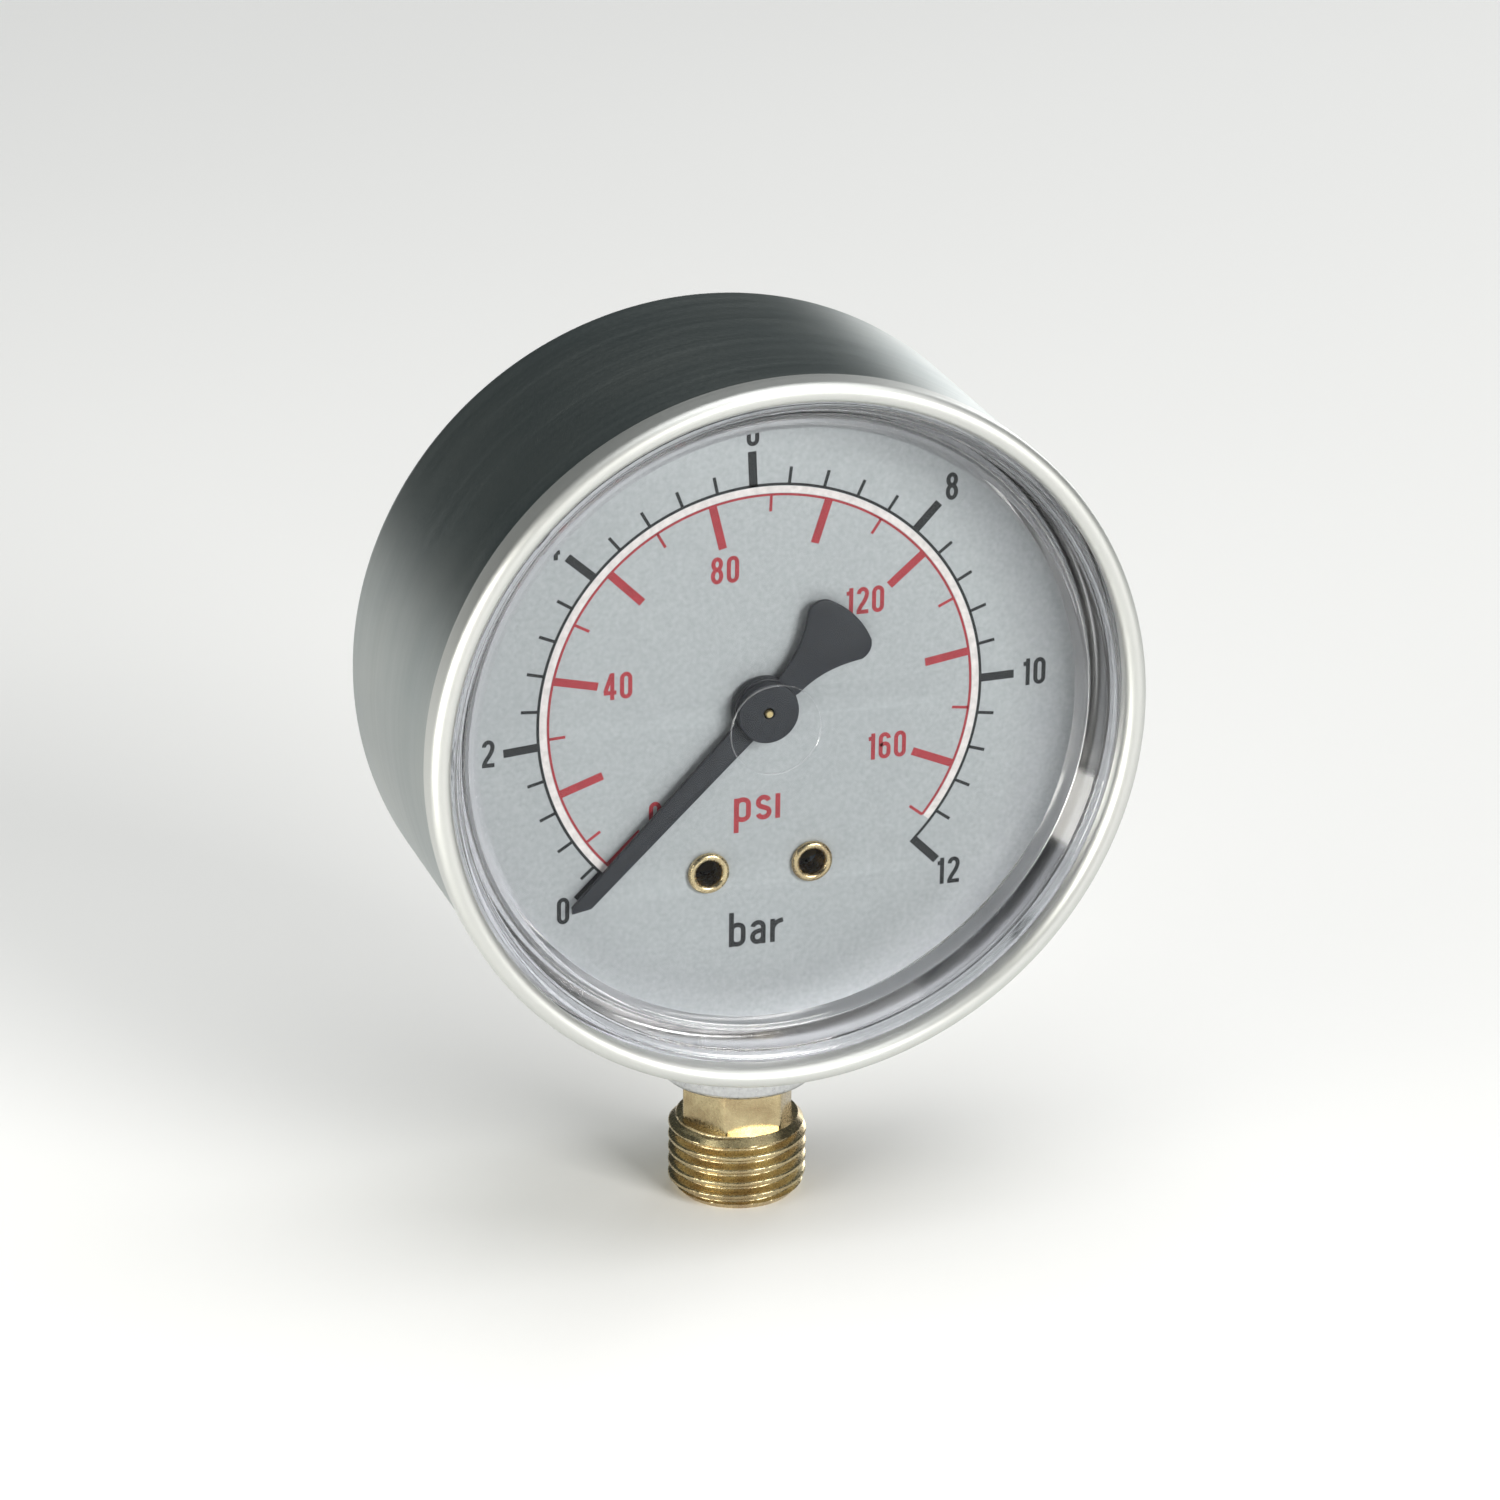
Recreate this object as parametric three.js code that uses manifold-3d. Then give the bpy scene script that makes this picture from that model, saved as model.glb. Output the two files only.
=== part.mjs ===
// Bourdon tube pressure gauge, nominal size 63 mm, with a bottom connection taken as G 1/4.
// Millimetres, +Z up. The origin is the middle of the stem's end, on the thread's axis.
// The dial faces -Y. The head group has its own origin in the middle of the front bead's
// plane, with +Y running back into the case, so a depth is a y value in that group.
import * as THREE from 'three';
import { mergeVertices } from 'three/addons/utils/BufferGeometryUtils.js';
import Module from 'manifold-3d';

const wasm = await Module();
wasm.setup();

// Driving dimensions
const AXIS_HEIGHT = 51.3;         // stem end to dial centre
const BEAD_TO_STEM = 15.2;        // bead plane to thread axis
const ROUND = 56;                 // sides of the large round parts
const FINE = 16;                  // sides of the small round parts

// Case: drawn cup with a rolled bead
const CASE_RADIUS = 33.7;
const CASE_WALL = 0.8;
const CASE_DEPTH = 30;
const CASE_CORNER = 2;
const BEAD_CENTRE_RADIUS = 33.05;
const BEAD_RADIUS = 0.95;
const BEAD_END = 2.3;             // where the bead's straight side meets the wall
const CASE_INSIDE = CASE_RADIUS - CASE_WALL;
const BACK_INSIDE = CASE_DEPTH - CASE_WALL;
const STEM_OPENING_RADIUS = 7.2;

// Window: clear cup with a recessed flat face
const WINDOW_FACE = 3.7;
const WINDOW_FACE_RADIUS = 28.5;
const WINDOW_STEP = 2.9;          // first moulded step outside the face
const WINDOW_STEP_RADIUS = 29.4;
const WINDOW_LIP = 0.3;
const WINDOW_LIP_RADIUS = 31.75;
const WINDOW_SKIRT_RADIUS = 32.55;
const WINDOW_SKIRT_INSIDE = 31.45;
const WINDOW_WALL = 1.2;
const WINDOW_END = 9.1;

// Dial and its rivets
const DIAL_FRONT = 9.4;
const DIAL_THICKNESS = 0.5;
const DIAL_RADIUS = 32.4;
const DIAL_HOLE_RADIUS = 1.2;
const RIVET_SPAN = 10.06;
const RIVET_HEIGHT = -16;
const RIVET_HEAD_RADIUS = 2;
const RIVET_BORE_RADIUS = 1.3;
const RIVET_SHANK_RADIUS = 1.55;
const RIVET_HOLE_RADIUS = 1.65;

// Pointer and hub
const POINTER_REST = THREE.MathUtils.degToRad(225);
const POINTER_FRONT = 8;
const POINTER_THICKNESS = 0.45;
const POINTER_LENGTH = 25.8;
const TAIL_LENGTH = 12.2;
const PAD_RADIUS = 3.1;
const PAD_BACK = 9.05;
const HUB_RADIUS = 2.9;
const HUB_FRONT = 7.1;
const HUB_SPIGOT_RADIUS = 1.6;
const HUB_BORE_RADIUS = 0.5;

// Movement
const FRONT_PLATE = [10, 11];
const BACK_PLATE = [17.2, 18.2];
const PIVOT_RADIUS = 0.6;
const PIVOT_HOLE_RADIUS = 0.66;
const GEAR_MODULE = 0.32;
const PINION_TEETH = 10;
const SECTOR_TEETH = 90;          // of the full circle that the sector is part of
const SECTOR_LAYER = [14.2, 15.2];
const PINION_LAYER = [13.4, 16];
const SECTOR_BEARING = -52;       // degrees, from the pinion to the sector arbor
const SECTOR_SWING = 30;          // degrees over the whole scale
const TAIL_ARM = 4.15;
const TAIL_BEARING = -51.2;       // degrees, at rest
const PILLARS = { lower_left: [-9.5, -9], upper_left: [-6.5, 8.5], upper_right: [12.5, 6.5] };
const PILLAR_RADIUS = 1.4;
const HAIRSPRING_LAYER = [11.9, 12.4];
const HAIRSPRING_START = 1.55;
const HAIRSPRING_END = 5.6;
const HAIRSPRING_TURNS = 4;
const HAIRSPRING_THICKNESS = 0.2;

// Bourdon tube, tip and link
const TUBE_RADIUS = 23;
const TUBE_WIDTH = 8;
const TUBE_THICKNESS = 2.4;
const TUBE_WALL = 0.4;
const TUBE_MIDDLE = 19.6;
const TUBE_ROOT = 257;            // degrees, inside the block
const TUBE_END = -14;             // degrees, free end
const TIP_PIVOT = [17.6, -9.1];
const LINK_LAYER = [15.4, 15.9];
const LINK_PIN_RADIUS = 0.5;
const LINK_HALF_WIDTH = 1.1;

// Stem: socket block, hexagonal neck and thread, with G 1/4 dimensions. Heights are above the stem's end.
const THREAD_RADIUS = 6.579;
const THREAD_ROOT_RADIUS = 5.8;
const THREAD_PITCH = 1.337;
const THREAD_RIDGES = 5;
const THREAD_TOP = 7.6;
const NECK_FLATS = 9.5;
const NECK_TOP = 12.05;           // end of the hexagon, just under the collar
const NECK_CORE_RADIUS = 4.6;     // inside the hexagon
const SHANK_RADIUS = 5.1;         // round part above the hexagon
const COLLAR_RADIUS = 7.5;
const COLLAR_BORE = 5.9;
const COLLAR_BOTTOM = 12.1;
const BLOCK_HALF_WIDTH = 8;
const BLOCK_BOTTOM = 20.1;
const BLOCK_STEP = 31.3;
const BLOCK_TOP = 38.3;
const BLOCK_FRONT = 10.6;         // this and the next three are depths from the bead plane
const SHELF_FRONT = 18.3;
const SHELF_BACK = 23.6;
const BLOCK_BACK = 28.9;
const PORT_RADIUS = 3;
const PORT_DEPTH = 11;
const FEED_RADIUS = 1.2;
const MOVEMENT_SCREW = [5.5, -17];
const CASE_SCREW = [5, -26];

const degrees = THREE.MathUtils.degToRad;

// ---- solids ---------------------------------------------------------------------------

function toSolid(geometry) {
  const bare = geometry.clone();
  bare.deleteAttribute('normal');
  bare.deleteAttribute('uv');
  const merged = mergeVertices(bare, 1e-4);
  const vertProperties = Float32Array.from(merged.attributes.position.array);
  const triVerts = Uint32Array.from(merged.index.array);
  return new wasm.Manifold(new wasm.Mesh({ numProp: 3, vertProperties, triVerts }));
}

function toGeometry(solid) {
  const { vertProperties, triVerts } = solid.getMesh();
  const geometry = new THREE.BufferGeometry();
  geometry.setAttribute('position', new THREE.BufferAttribute(vertProperties, 3));
  geometry.setIndex(new THREE.BufferAttribute(triVerts, 1));
  geometry.computeVertexNormals();
  return geometry;
}

function join(first, ...others) {
  return toGeometry(others.reduce((solid, other) => solid.add(toSolid(other)), toSolid(first)));
}

function cut(first, ...others) {
  return toGeometry(others.reduce((solid, other) => solid.subtract(toSolid(other)), toSolid(first)));
}

// A round part about the Y axis, from [radius, depth] points. The points run from the front
// of the axis round the outside to the back of the axis, or close on themselves.
function turned(points, sides = FINE) {
  const profile = points.map(([radius, depth]) => new THREE.Vector2(radius, depth));
  return new THREE.LatheGeometry(profile, sides);
}

// A flat part in the dial's plane: shape x is X, shape y is Z, between two depths.
function sheet(shape, [front, back], curveSegments = 5) {
  const depth = back - front;
  const geometry = new THREE.ExtrudeGeometry(shape, { depth, bevelEnabled: false, curveSegments });
  return geometry.rotateX(Math.PI / 2).translate(0, back, 0);
}

function disc(radius, [front, back], sides = FINE) {
  return turned([[0, front], [radius, front], [radius, back], [0, back]], sides);
}

function at(geometry, x, y, z) {
  return geometry.clone().translate(x, y, z);
}

function hole(shape, x, y, radius) {
  shape.holes.push(new THREE.Path().absarc(x, y, radius, 0, 2 * Math.PI, true));
}

function polar(radius, angle) {
  return [radius * Math.cos(angle), radius * Math.sin(angle)];
}

// An outline through corner points in anticlockwise order, each rounded to the same radius.
function roundedOutline(corners, radius) {
  const shape = new THREE.Shape();
  corners.forEach((corner, i) => {
    const here = new THREE.Vector2(...corner);
    const before = new THREE.Vector2(...corners.at(i - 1));
    const after = new THREE.Vector2(...corners[(i + 1) % corners.length]);
    const enter = here.clone().add(before.sub(here).setLength(radius));
    const leave = here.clone().add(after.sub(here).setLength(radius));
    if (i === 0) shape.moveTo(enter.x, enter.y);
    else shape.lineTo(enter.x, enter.y);
    shape.quadraticCurveTo(here.x, here.y, leave.x, leave.y);
  });
  shape.closePath();
  return shape;
}

// A bar with round ends, from the origin to a point.
function barOutline([x, y], halfWidth) {
  const bearing = Math.atan2(y, x);
  const shape = new THREE.Shape();
  shape.absarc(0, 0, halfWidth, bearing + Math.PI / 2, bearing + 1.5 * Math.PI, false);
  shape.absarc(x, y, halfWidth, bearing - Math.PI / 2, bearing + Math.PI / 2, false);
  shape.closePath();
  return shape;
}

function piece(name, geometry, color, roughness, metalness) {
  const mesh = new THREE.Mesh(geometry, new THREE.MeshStandardMaterial({ color, roughness, metalness }));
  mesh.name = name;
  return mesh;
}

const platedSteel = (name, geometry) => piece(name, geometry, 0x8f999b, 0.45, 0.9);
const brass = (name, geometry) => piece(name, geometry, 0xb59a5c, 0.4, 0.95);
const steel = (name, geometry) => piece(name, geometry, 0xb8babc, 0.35, 0.95);
const black = (name, geometry) => piece(name, geometry, 0x23252b, 0.6, 0.1);

// ---- case, window and dial ------------------------------------------------------------

function caseShell() {
  const points = [[0, BACK_INSIDE], [CASE_INSIDE - CASE_CORNER, BACK_INSIDE]];
  const insideCorner = CASE_CORNER - CASE_WALL;
  for (let step = 0; step <= 2; step += 1) {
    const angle = (step / 2) * (Math.PI / 2);
    points.push([
      CASE_INSIDE - insideCorner + insideCorner * Math.sin(angle),
      BACK_INSIDE - insideCorner + insideCorner * Math.cos(angle),
    ]);
  }
  points.push([CASE_INSIDE, BEAD_RADIUS + 0.2]);
  for (let step = 0; step <= 7; step += 1) {
    const angle = degrees(130 - (step / 7) * 220);
    points.push([
      BEAD_CENTRE_RADIUS - BEAD_RADIUS * Math.sin(angle),
      -BEAD_RADIUS * Math.cos(angle),
    ]);
  }
  points.push([BEAD_CENTRE_RADIUS + BEAD_RADIUS, BEAD_END - 0.3]);
  points.push([CASE_RADIUS, BEAD_END]);
  for (let step = 0; step <= 3; step += 1) {
    const angle = (step / 3) * (Math.PI / 2);
    points.push([
      CASE_RADIUS - CASE_CORNER + CASE_CORNER * Math.cos(angle),
      CASE_DEPTH - CASE_CORNER + CASE_CORNER * Math.sin(angle),
    ]);
  }
  points.push([0, CASE_DEPTH]);
  const opening = new THREE.CylinderGeometry(STEM_OPENING_RADIUS, STEM_OPENING_RADIUS, 10, 24)
    .rotateX(Math.PI / 2);
  const [screwX, screwZ] = CASE_SCREW;
  const screwHole = disc(1.7, [BACK_INSIDE - 1, CASE_DEPTH + 1]);
  return cut(
    turned(points, ROUND),
    at(opening, 0, BEAD_TO_STEM, -CASE_RADIUS),
    at(screwHole, -screwX, 0, screwZ),
    at(screwHole, screwX, 0, screwZ),
  );
}

function windowCup() {
  return turned([
    [0, WINDOW_FACE],
    [WINDOW_FACE_RADIUS, WINDOW_FACE],
    [WINDOW_STEP_RADIUS, WINDOW_STEP],
    [WINDOW_LIP_RADIUS - 0.6, WINDOW_LIP],
    [WINDOW_LIP_RADIUS, WINDOW_LIP],
    [WINDOW_LIP_RADIUS, BEAD_RADIUS + 0.55],
    [WINDOW_SKIRT_RADIUS, BEAD_RADIUS + 1.15],
    [WINDOW_SKIRT_RADIUS, WINDOW_END],
    [WINDOW_SKIRT_INSIDE, WINDOW_END],
    [WINDOW_SKIRT_INSIDE, WINDOW_FACE + WINDOW_WALL + 0.6],
    [WINDOW_SKIRT_INSIDE - 0.6, WINDOW_FACE + WINDOW_WALL],
    [0, WINDOW_FACE + WINDOW_WALL],
  ], ROUND);
}

function dialPlate() {
  const outline = new THREE.Shape().absarc(0, 0, DIAL_RADIUS, 0, 2 * Math.PI, false);
  hole(outline, 0, 0, DIAL_HOLE_RADIUS);
  hole(outline, -RIVET_SPAN / 2, RIVET_HEIGHT, RIVET_HOLE_RADIUS);
  hole(outline, RIVET_SPAN / 2, RIVET_HEIGHT, RIVET_HOLE_RADIUS);
  return sheet(outline, [DIAL_FRONT, DIAL_FRONT + DIAL_THICKNESS], 24);
}

// Tubular rivet: a rolled head on the dial and a flare behind the movement's front plate.
function dialRivet() {
  const head = DIAL_FRONT - 0.05;
  const flare = FRONT_PLATE[1] + 0.05;
  return turned([
    [RIVET_BORE_RADIUS, head - 0.3],
    [RIVET_BORE_RADIUS + 0.2, head - 0.5],
    [RIVET_HEAD_RADIUS - 0.25, head - 0.5],
    [RIVET_HEAD_RADIUS, head - 0.25],
    [RIVET_HEAD_RADIUS, head],
    [RIVET_SHANK_RADIUS, head],
    [RIVET_SHANK_RADIUS, flare],
    [RIVET_HEAD_RADIUS, flare],
    [RIVET_HEAD_RADIUS, flare + 0.4],
    [RIVET_BORE_RADIUS, flare + 0.4],
    [RIVET_BORE_RADIUS, head - 0.3],
  ]);
}

// ---- pointer --------------------------------------------------------------------------

// The blade points along +X, and the flared tail lies on the other side of the axis.
function pointerBlade() {
  const outline = new THREE.Shape();
  outline.moveTo(POINTER_LENGTH - 1.5, 0.75);
  outline.lineTo(0, 1.25);
  outline.bezierCurveTo(-4, 1.25, -6, 1.2, -9.4, 3.7);
  outline.quadraticCurveTo(-10.6, 4, -11.3, 3);
  outline.quadraticCurveTo(-TAIL_LENGTH - 0.3, 0, -11.3, -3);
  outline.quadraticCurveTo(-10.6, -4, -9.4, -3.7);
  outline.bezierCurveTo(-6, -1.2, -4, -1.25, 0, -1.25);
  outline.lineTo(POINTER_LENGTH - 0.4, -0.75);
  outline.lineTo(POINTER_LENGTH, -0.3);
  outline.closePath();
  const blade = sheet(outline, [POINTER_FRONT, POINTER_FRONT + POINTER_THICKNESS], 6);
  const pad = disc(PAD_RADIUS, [POINTER_FRONT + 0.1, PAD_BACK]);
  const bore = disc(HUB_SPIGOT_RADIUS + 0.1, [POINTER_FRONT - 1, PAD_BACK + 1]);
  return cut(join(blade, pad), bore);
}

function pointerHub() {
  return turned([
    [HUB_BORE_RADIUS, HUB_FRONT],
    [HUB_RADIUS - 0.25, HUB_FRONT],
    [HUB_RADIUS, HUB_FRONT + 0.25],
    [HUB_RADIUS, POINTER_FRONT - 0.05],
    [HUB_SPIGOT_RADIUS, POINTER_FRONT - 0.05],
    [HUB_SPIGOT_RADIUS, PAD_BACK],
    [HUB_BORE_RADIUS, PAD_BACK],
    [HUB_BORE_RADIUS, HUB_FRONT],
  ]);
}

// ---- gears ----------------------------------------------------------------------------

// Corner points of involute teeth, at the given bearings, in increasing order of bearing.
function toothPoints(teeth, bearings) {
  const pitch = (GEAR_MODULE * teeth) / 2;
  const base = pitch * Math.cos(degrees(20));
  const root = pitch - 1.25 * GEAR_MODULE;
  const tip = pitch + 0.75 * GEAR_MODULE;
  const involute = (radius) => {
    if (radius <= base) return 0;
    const roll = Math.sqrt((radius / base) ** 2 - 1);
    return roll - Math.atan(roll);
  };
  const halfTooth = (0.4 * Math.PI) / teeth + involute(pitch);
  const radii = [root, Math.max(base, root), pitch, tip];
  const flank = radii.map((radius) => [radius, halfTooth - involute(radius)]);
  return bearings.flatMap((bearing) => [
    ...flank.map(([radius, half]) => polar(radius, bearing - half)),
    ...flank.toReversed().map(([radius, half]) => polar(radius, bearing + half)),
  ]);
}

function outlineThrough(points) {
  return new THREE.Shape(points.map(([x, y]) => new THREE.Vector2(x, y)));
}

// Pinion cut on its arbor. A tooth gap faces the sector's arbor at rest.
function pinionArbor() {
  const step = (2 * Math.PI) / PINION_TEETH;
  const first = degrees(SECTOR_BEARING) + step / 2;
  const bearings = Array.from({ length: PINION_TEETH }, (_, i) => first + i * step);
  const teeth = sheet(outlineThrough(toothPoints(PINION_TEETH, bearings)), PINION_LAYER);
  const arbor = turned([
    [0, HUB_FRONT - 0.15],
    [0.3, HUB_FRONT - 0.15],
    [0.4, HUB_FRONT],
    [0.4, PAD_BACK + 0.15],
    [PIVOT_RADIUS, PAD_BACK + 0.15],
    [PIVOT_RADIUS, BACK_PLATE[1] - 0.1],
    [0, BACK_PLATE[1] - 0.1],
  ]);
  return join(arbor, teeth);
}

// Sector gear about its own arbor, with the tail that the link pulls.
function sectorGear() {
  const toothAngle = (2 * Math.PI) / SECTOR_TEETH;
  const mesh = degrees(SECTOR_BEARING + 180);
  const spare = 2;
  const count = Math.ceil(degrees(SECTOR_SWING) / toothAngle) + 1 + 2 * spare;
  const first = mesh - (count - 1 - spare) * toothAngle;
  const bearings = Array.from({ length: count }, (_, i) => first + i * toothAngle);
  const last = bearings.at(-1);
  const rim = (GEAR_MODULE * SECTOR_TEETH) / 2 - 2.4;
  const outline = outlineThrough([
    [0, 0],
    ...toothPoints(SECTOR_TEETH, bearings),
  ]);
  const lightening = new THREE.Path();
  lightening.moveTo(...polar(5, last - 0.22));
  lightening.absarc(0, 0, 5, last - 0.22, first + 0.22, true);
  lightening.absarc(0, 0, rim, first + 0.1, last - 0.1, false);
  lightening.closePath();
  outline.holes.push(lightening);
  const tailEnd = polar(TAIL_ARM, degrees(TAIL_BEARING));
  return cut(
    join(
      sheet(outline, SECTOR_LAYER),
      disc(2.4, SECTOR_LAYER),
      sheet(barOutline(tailEnd, 1.5), SECTOR_LAYER),
    ),
    disc(1.06, [SECTOR_LAYER[0] - 1, SECTOR_LAYER[1] + 1]),
    at(disc(LINK_PIN_RADIUS + 0.2, [SECTOR_LAYER[0] - 1, SECTOR_LAYER[1] + 1]), tailEnd[0], 0, tailEnd[1]),
  );
}

function sectorArbor() {
  return turned([
    [0, FRONT_PLATE[0] + 0.1],
    [PIVOT_RADIUS, FRONT_PLATE[0] + 0.1],
    [PIVOT_RADIUS, FRONT_PLATE[1] + 0.15],
    [1, FRONT_PLATE[1] + 0.15],
    [1, BACK_PLATE[0] - 0.15],
    [PIVOT_RADIUS, BACK_PLATE[0] - 0.15],
    [PIVOT_RADIUS, BACK_PLATE[1] - 0.1],
    [0, BACK_PLATE[1] - 0.1],
  ]);
}

// ---- movement frame -------------------------------------------------------------------

const SECTOR_ARBOR = polar((GEAR_MODULE * (PINION_TEETH + SECTOR_TEETH)) / 2, degrees(SECTOR_BEARING));
const TAIL_PIVOT = [
  SECTOR_ARBOR[0] + TAIL_ARM * Math.cos(degrees(TAIL_BEARING)),
  SECTOR_ARBOR[1] + TAIL_ARM * Math.sin(degrees(TAIL_BEARING)),
];
const PLATE_CORNERS = [
  [-12.5, 4], [-12.5, -12], [-8.5, -19.3], [8.5, -19.3], [13.5, -14], [15.5, 4], [14, 10], [-9, 11.5],
];

function frontPlate() {
  const outline = roundedOutline(PLATE_CORNERS, 2.2);
  hole(outline, 0, 0, PIVOT_HOLE_RADIUS);
  hole(outline, ...SECTOR_ARBOR, PIVOT_HOLE_RADIUS);
  hole(outline, -RIVET_SPAN / 2, RIVET_HEIGHT, RIVET_HOLE_RADIUS);
  hole(outline, RIVET_SPAN / 2, RIVET_HEIGHT, RIVET_HOLE_RADIUS);
  Object.values(PILLARS).forEach(([x, z]) => hole(outline, x, z, 1));
  return sheet(outline, FRONT_PLATE);
}

function backPlate() {
  const outline = roundedOutline(PLATE_CORNERS, 2.2);
  hole(outline, 0, 0, PIVOT_HOLE_RADIUS);
  hole(outline, ...SECTOR_ARBOR, PIVOT_HOLE_RADIUS);
  hole(outline, -MOVEMENT_SCREW[0], MOVEMENT_SCREW[1], 1.05);
  hole(outline, MOVEMENT_SCREW[0], MOVEMENT_SCREW[1], 1.05);
  Object.values(PILLARS).forEach(([x, z]) => hole(outline, x, z, 0.8));
  return sheet(outline, BACK_PLATE);
}

function pillar() {
  const [front, back] = [FRONT_PLATE[1] + 0.05, BACK_PLATE[0] - 0.05];
  return turned([
    [0, FRONT_PLATE[0] + 0.05],
    [0.9, FRONT_PLATE[0] + 0.05],
    [0.9, front],
    [PILLAR_RADIUS, front],
    [PILLAR_RADIUS, back],
    [0.8, back],
    [0.8, back - 4.2],
    [0, back - 4.2],
  ]);
}

// A slotted screw whose head's underside is at depth 0 and whose shank runs to +Y.
function slottedScrew(headRadius, headHeight, shankRadius, shankLength) {
  const body = turned([
    [0, -headHeight],
    [headRadius - 0.3, -headHeight],
    [headRadius, -headHeight + 0.3],
    [headRadius, 0],
    [shankRadius, 0],
    [shankRadius, shankLength - 0.3],
    [shankRadius - 0.3, shankLength],
    [0, shankLength],
  ]);
  const slot = new THREE.BoxGeometry(3 * headRadius, headHeight, 0.25 * headRadius);
  return cut(body, at(slot, 0, -headHeight, 0));
}

// A flat spiral strip, wound outwards.
function hairspring() {
  const steps = HAIRSPRING_TURNS * 14;
  const half = HAIRSPRING_THICKNESS / 2;
  const edge = (offset) => Array.from({ length: steps + 1 }, (_, i) => {
    const share = i / steps;
    const radius = HAIRSPRING_START + (HAIRSPRING_END - HAIRSPRING_START) * share + offset;
    return polar(radius, share * HAIRSPRING_TURNS * 2 * Math.PI);
  });
  return sheet(outlineThrough([...edge(-half), ...edge(half).reverse()]), HAIRSPRING_LAYER);
}

function hairspringCollet() {
  const [front, back] = [HAIRSPRING_LAYER[0] - 0.3, HAIRSPRING_LAYER[1] + 0.3];
  const outside = HAIRSPRING_START - HAIRSPRING_THICKNESS;
  return turned([
    [PIVOT_RADIUS + 0.05, front],
    [outside, front],
    [outside, back],
    [PIVOT_RADIUS + 0.05, back],
    [PIVOT_RADIUS + 0.05, front],
  ]);
}

// ---- tube, tip piece and link ---------------------------------------------------------

class TubeArc extends THREE.Curve {
  getPoint(share, target = new THREE.Vector3()) {
    const angle = degrees(TUBE_ROOT + (TUBE_END - TUBE_ROOT) * share);
    return target.set(TUBE_RADIUS * Math.cos(angle), TUBE_MIDDLE, TUBE_RADIUS * Math.sin(angle));
  }
}

// A flat section with round edges: x runs across the tube's width.
function tubeSection(path, width, thickness, clockwise) {
  const half = thickness / 2;
  const flat = width / 2 - half;
  if (clockwise) {
    path.absarc(flat, 0, half, Math.PI / 2, -Math.PI / 2, true);
    path.absarc(-flat, 0, half, -Math.PI / 2, -1.5 * Math.PI, true);
  } else {
    path.absarc(flat, 0, half, -Math.PI / 2, Math.PI / 2, false);
    path.absarc(-flat, 0, half, Math.PI / 2, 1.5 * Math.PI, false);
  }
  path.closePath();
  return path;
}

function bourdonTube() {
  const section = tubeSection(new THREE.Shape(), TUBE_WIDTH, TUBE_THICKNESS, false);
  const inside = tubeSection(
    new THREE.Path(), TUBE_WIDTH - 2 * TUBE_WALL, TUBE_THICKNESS - 2 * TUBE_WALL, true);
  section.holes.push(inside);
  return new THREE.ExtrudeGeometry(section, {
    extrudePath: new TubeArc(), steps: 30, curveSegments: 2, bevelEnabled: false,
  });
}

// A sector of a ring in the dial's plane, between two bearings in degrees.
function ringSector(inside, outside, from, to, layer) {
  const outline = new THREE.Shape();
  outline.absarc(0, 0, outside, degrees(from), degrees(to), false);
  outline.absarc(0, 0, inside, degrees(to), degrees(from), true);
  outline.closePath();
  return sheet(outline, layer, 6);
}

// Cap of the tube's free end with the ear that carries the link's pin.
function tipPiece() {
  const half = TUBE_WIDTH / 2 + 0.2;
  const inside = TUBE_RADIUS - TUBE_THICKNESS / 2 - 0.4;
  const outside = TUBE_RADIUS + TUBE_THICKNESS / 2 + 0.4;
  const layer = [TUBE_MIDDLE - half, TUBE_MIDDLE + half];
  const cap = ringSector(inside, outside, TUBE_END - 9, TUBE_END - 0.4, layer);
  const earLayer = [LINK_LAYER[1] + 0.15, LINK_LAYER[1] + 1.1];
  const root = polar(inside + 0.8, degrees(TUBE_END - 5));
  const ear = sheet(barOutline([root[0] - TIP_PIVOT[0], root[1] - TIP_PIVOT[1]], 1.6), earLayer);
  const pinHole = disc(LINK_PIN_RADIUS + 0.06, [earLayer[0] - 1, earLayer[1] + 1]);
  return cut(
    join(cap, at(ear, TIP_PIVOT[0], 0, TIP_PIVOT[1])),
    at(pinHole, TIP_PIVOT[0], 0, TIP_PIVOT[1]),
  );
}

function link() {
  const reach = [TAIL_PIVOT[0] - TIP_PIVOT[0], TAIL_PIVOT[1] - TIP_PIVOT[1]];
  const outline = barOutline(reach, LINK_HALF_WIDTH);
  hole(outline, 0, 0, LINK_PIN_RADIUS + 0.06);
  hole(outline, ...reach, LINK_PIN_RADIUS + 0.06);
  return sheet(outline, LINK_LAYER, 6);
}

function linkPin([front, back], headAtFront) {
  const head = headAtFront ? [front, front + 0.35] : [back - 0.35, back];
  return join(disc(LINK_PIN_RADIUS, [front, back]), disc(0.9, head));
}

// ---- stem -----------------------------------------------------------------------------

function box([x0, x1], [y0, y1], [z0, z1]) {
  const geometry = new THREE.BoxGeometry(x1 - x0, y1 - y0, z1 - z0);
  return geometry.translate((x0 + x1) / 2, (y0 + y1) / 2, (z0 + z1) / 2);
}

// Round part about the Z axis, from [radius, height] points.
function upright(points, sides) {
  return turned(points.map(([radius, height]) => [radius, -height]).reverse(), sides).rotateX(-Math.PI / 2);
}

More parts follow.
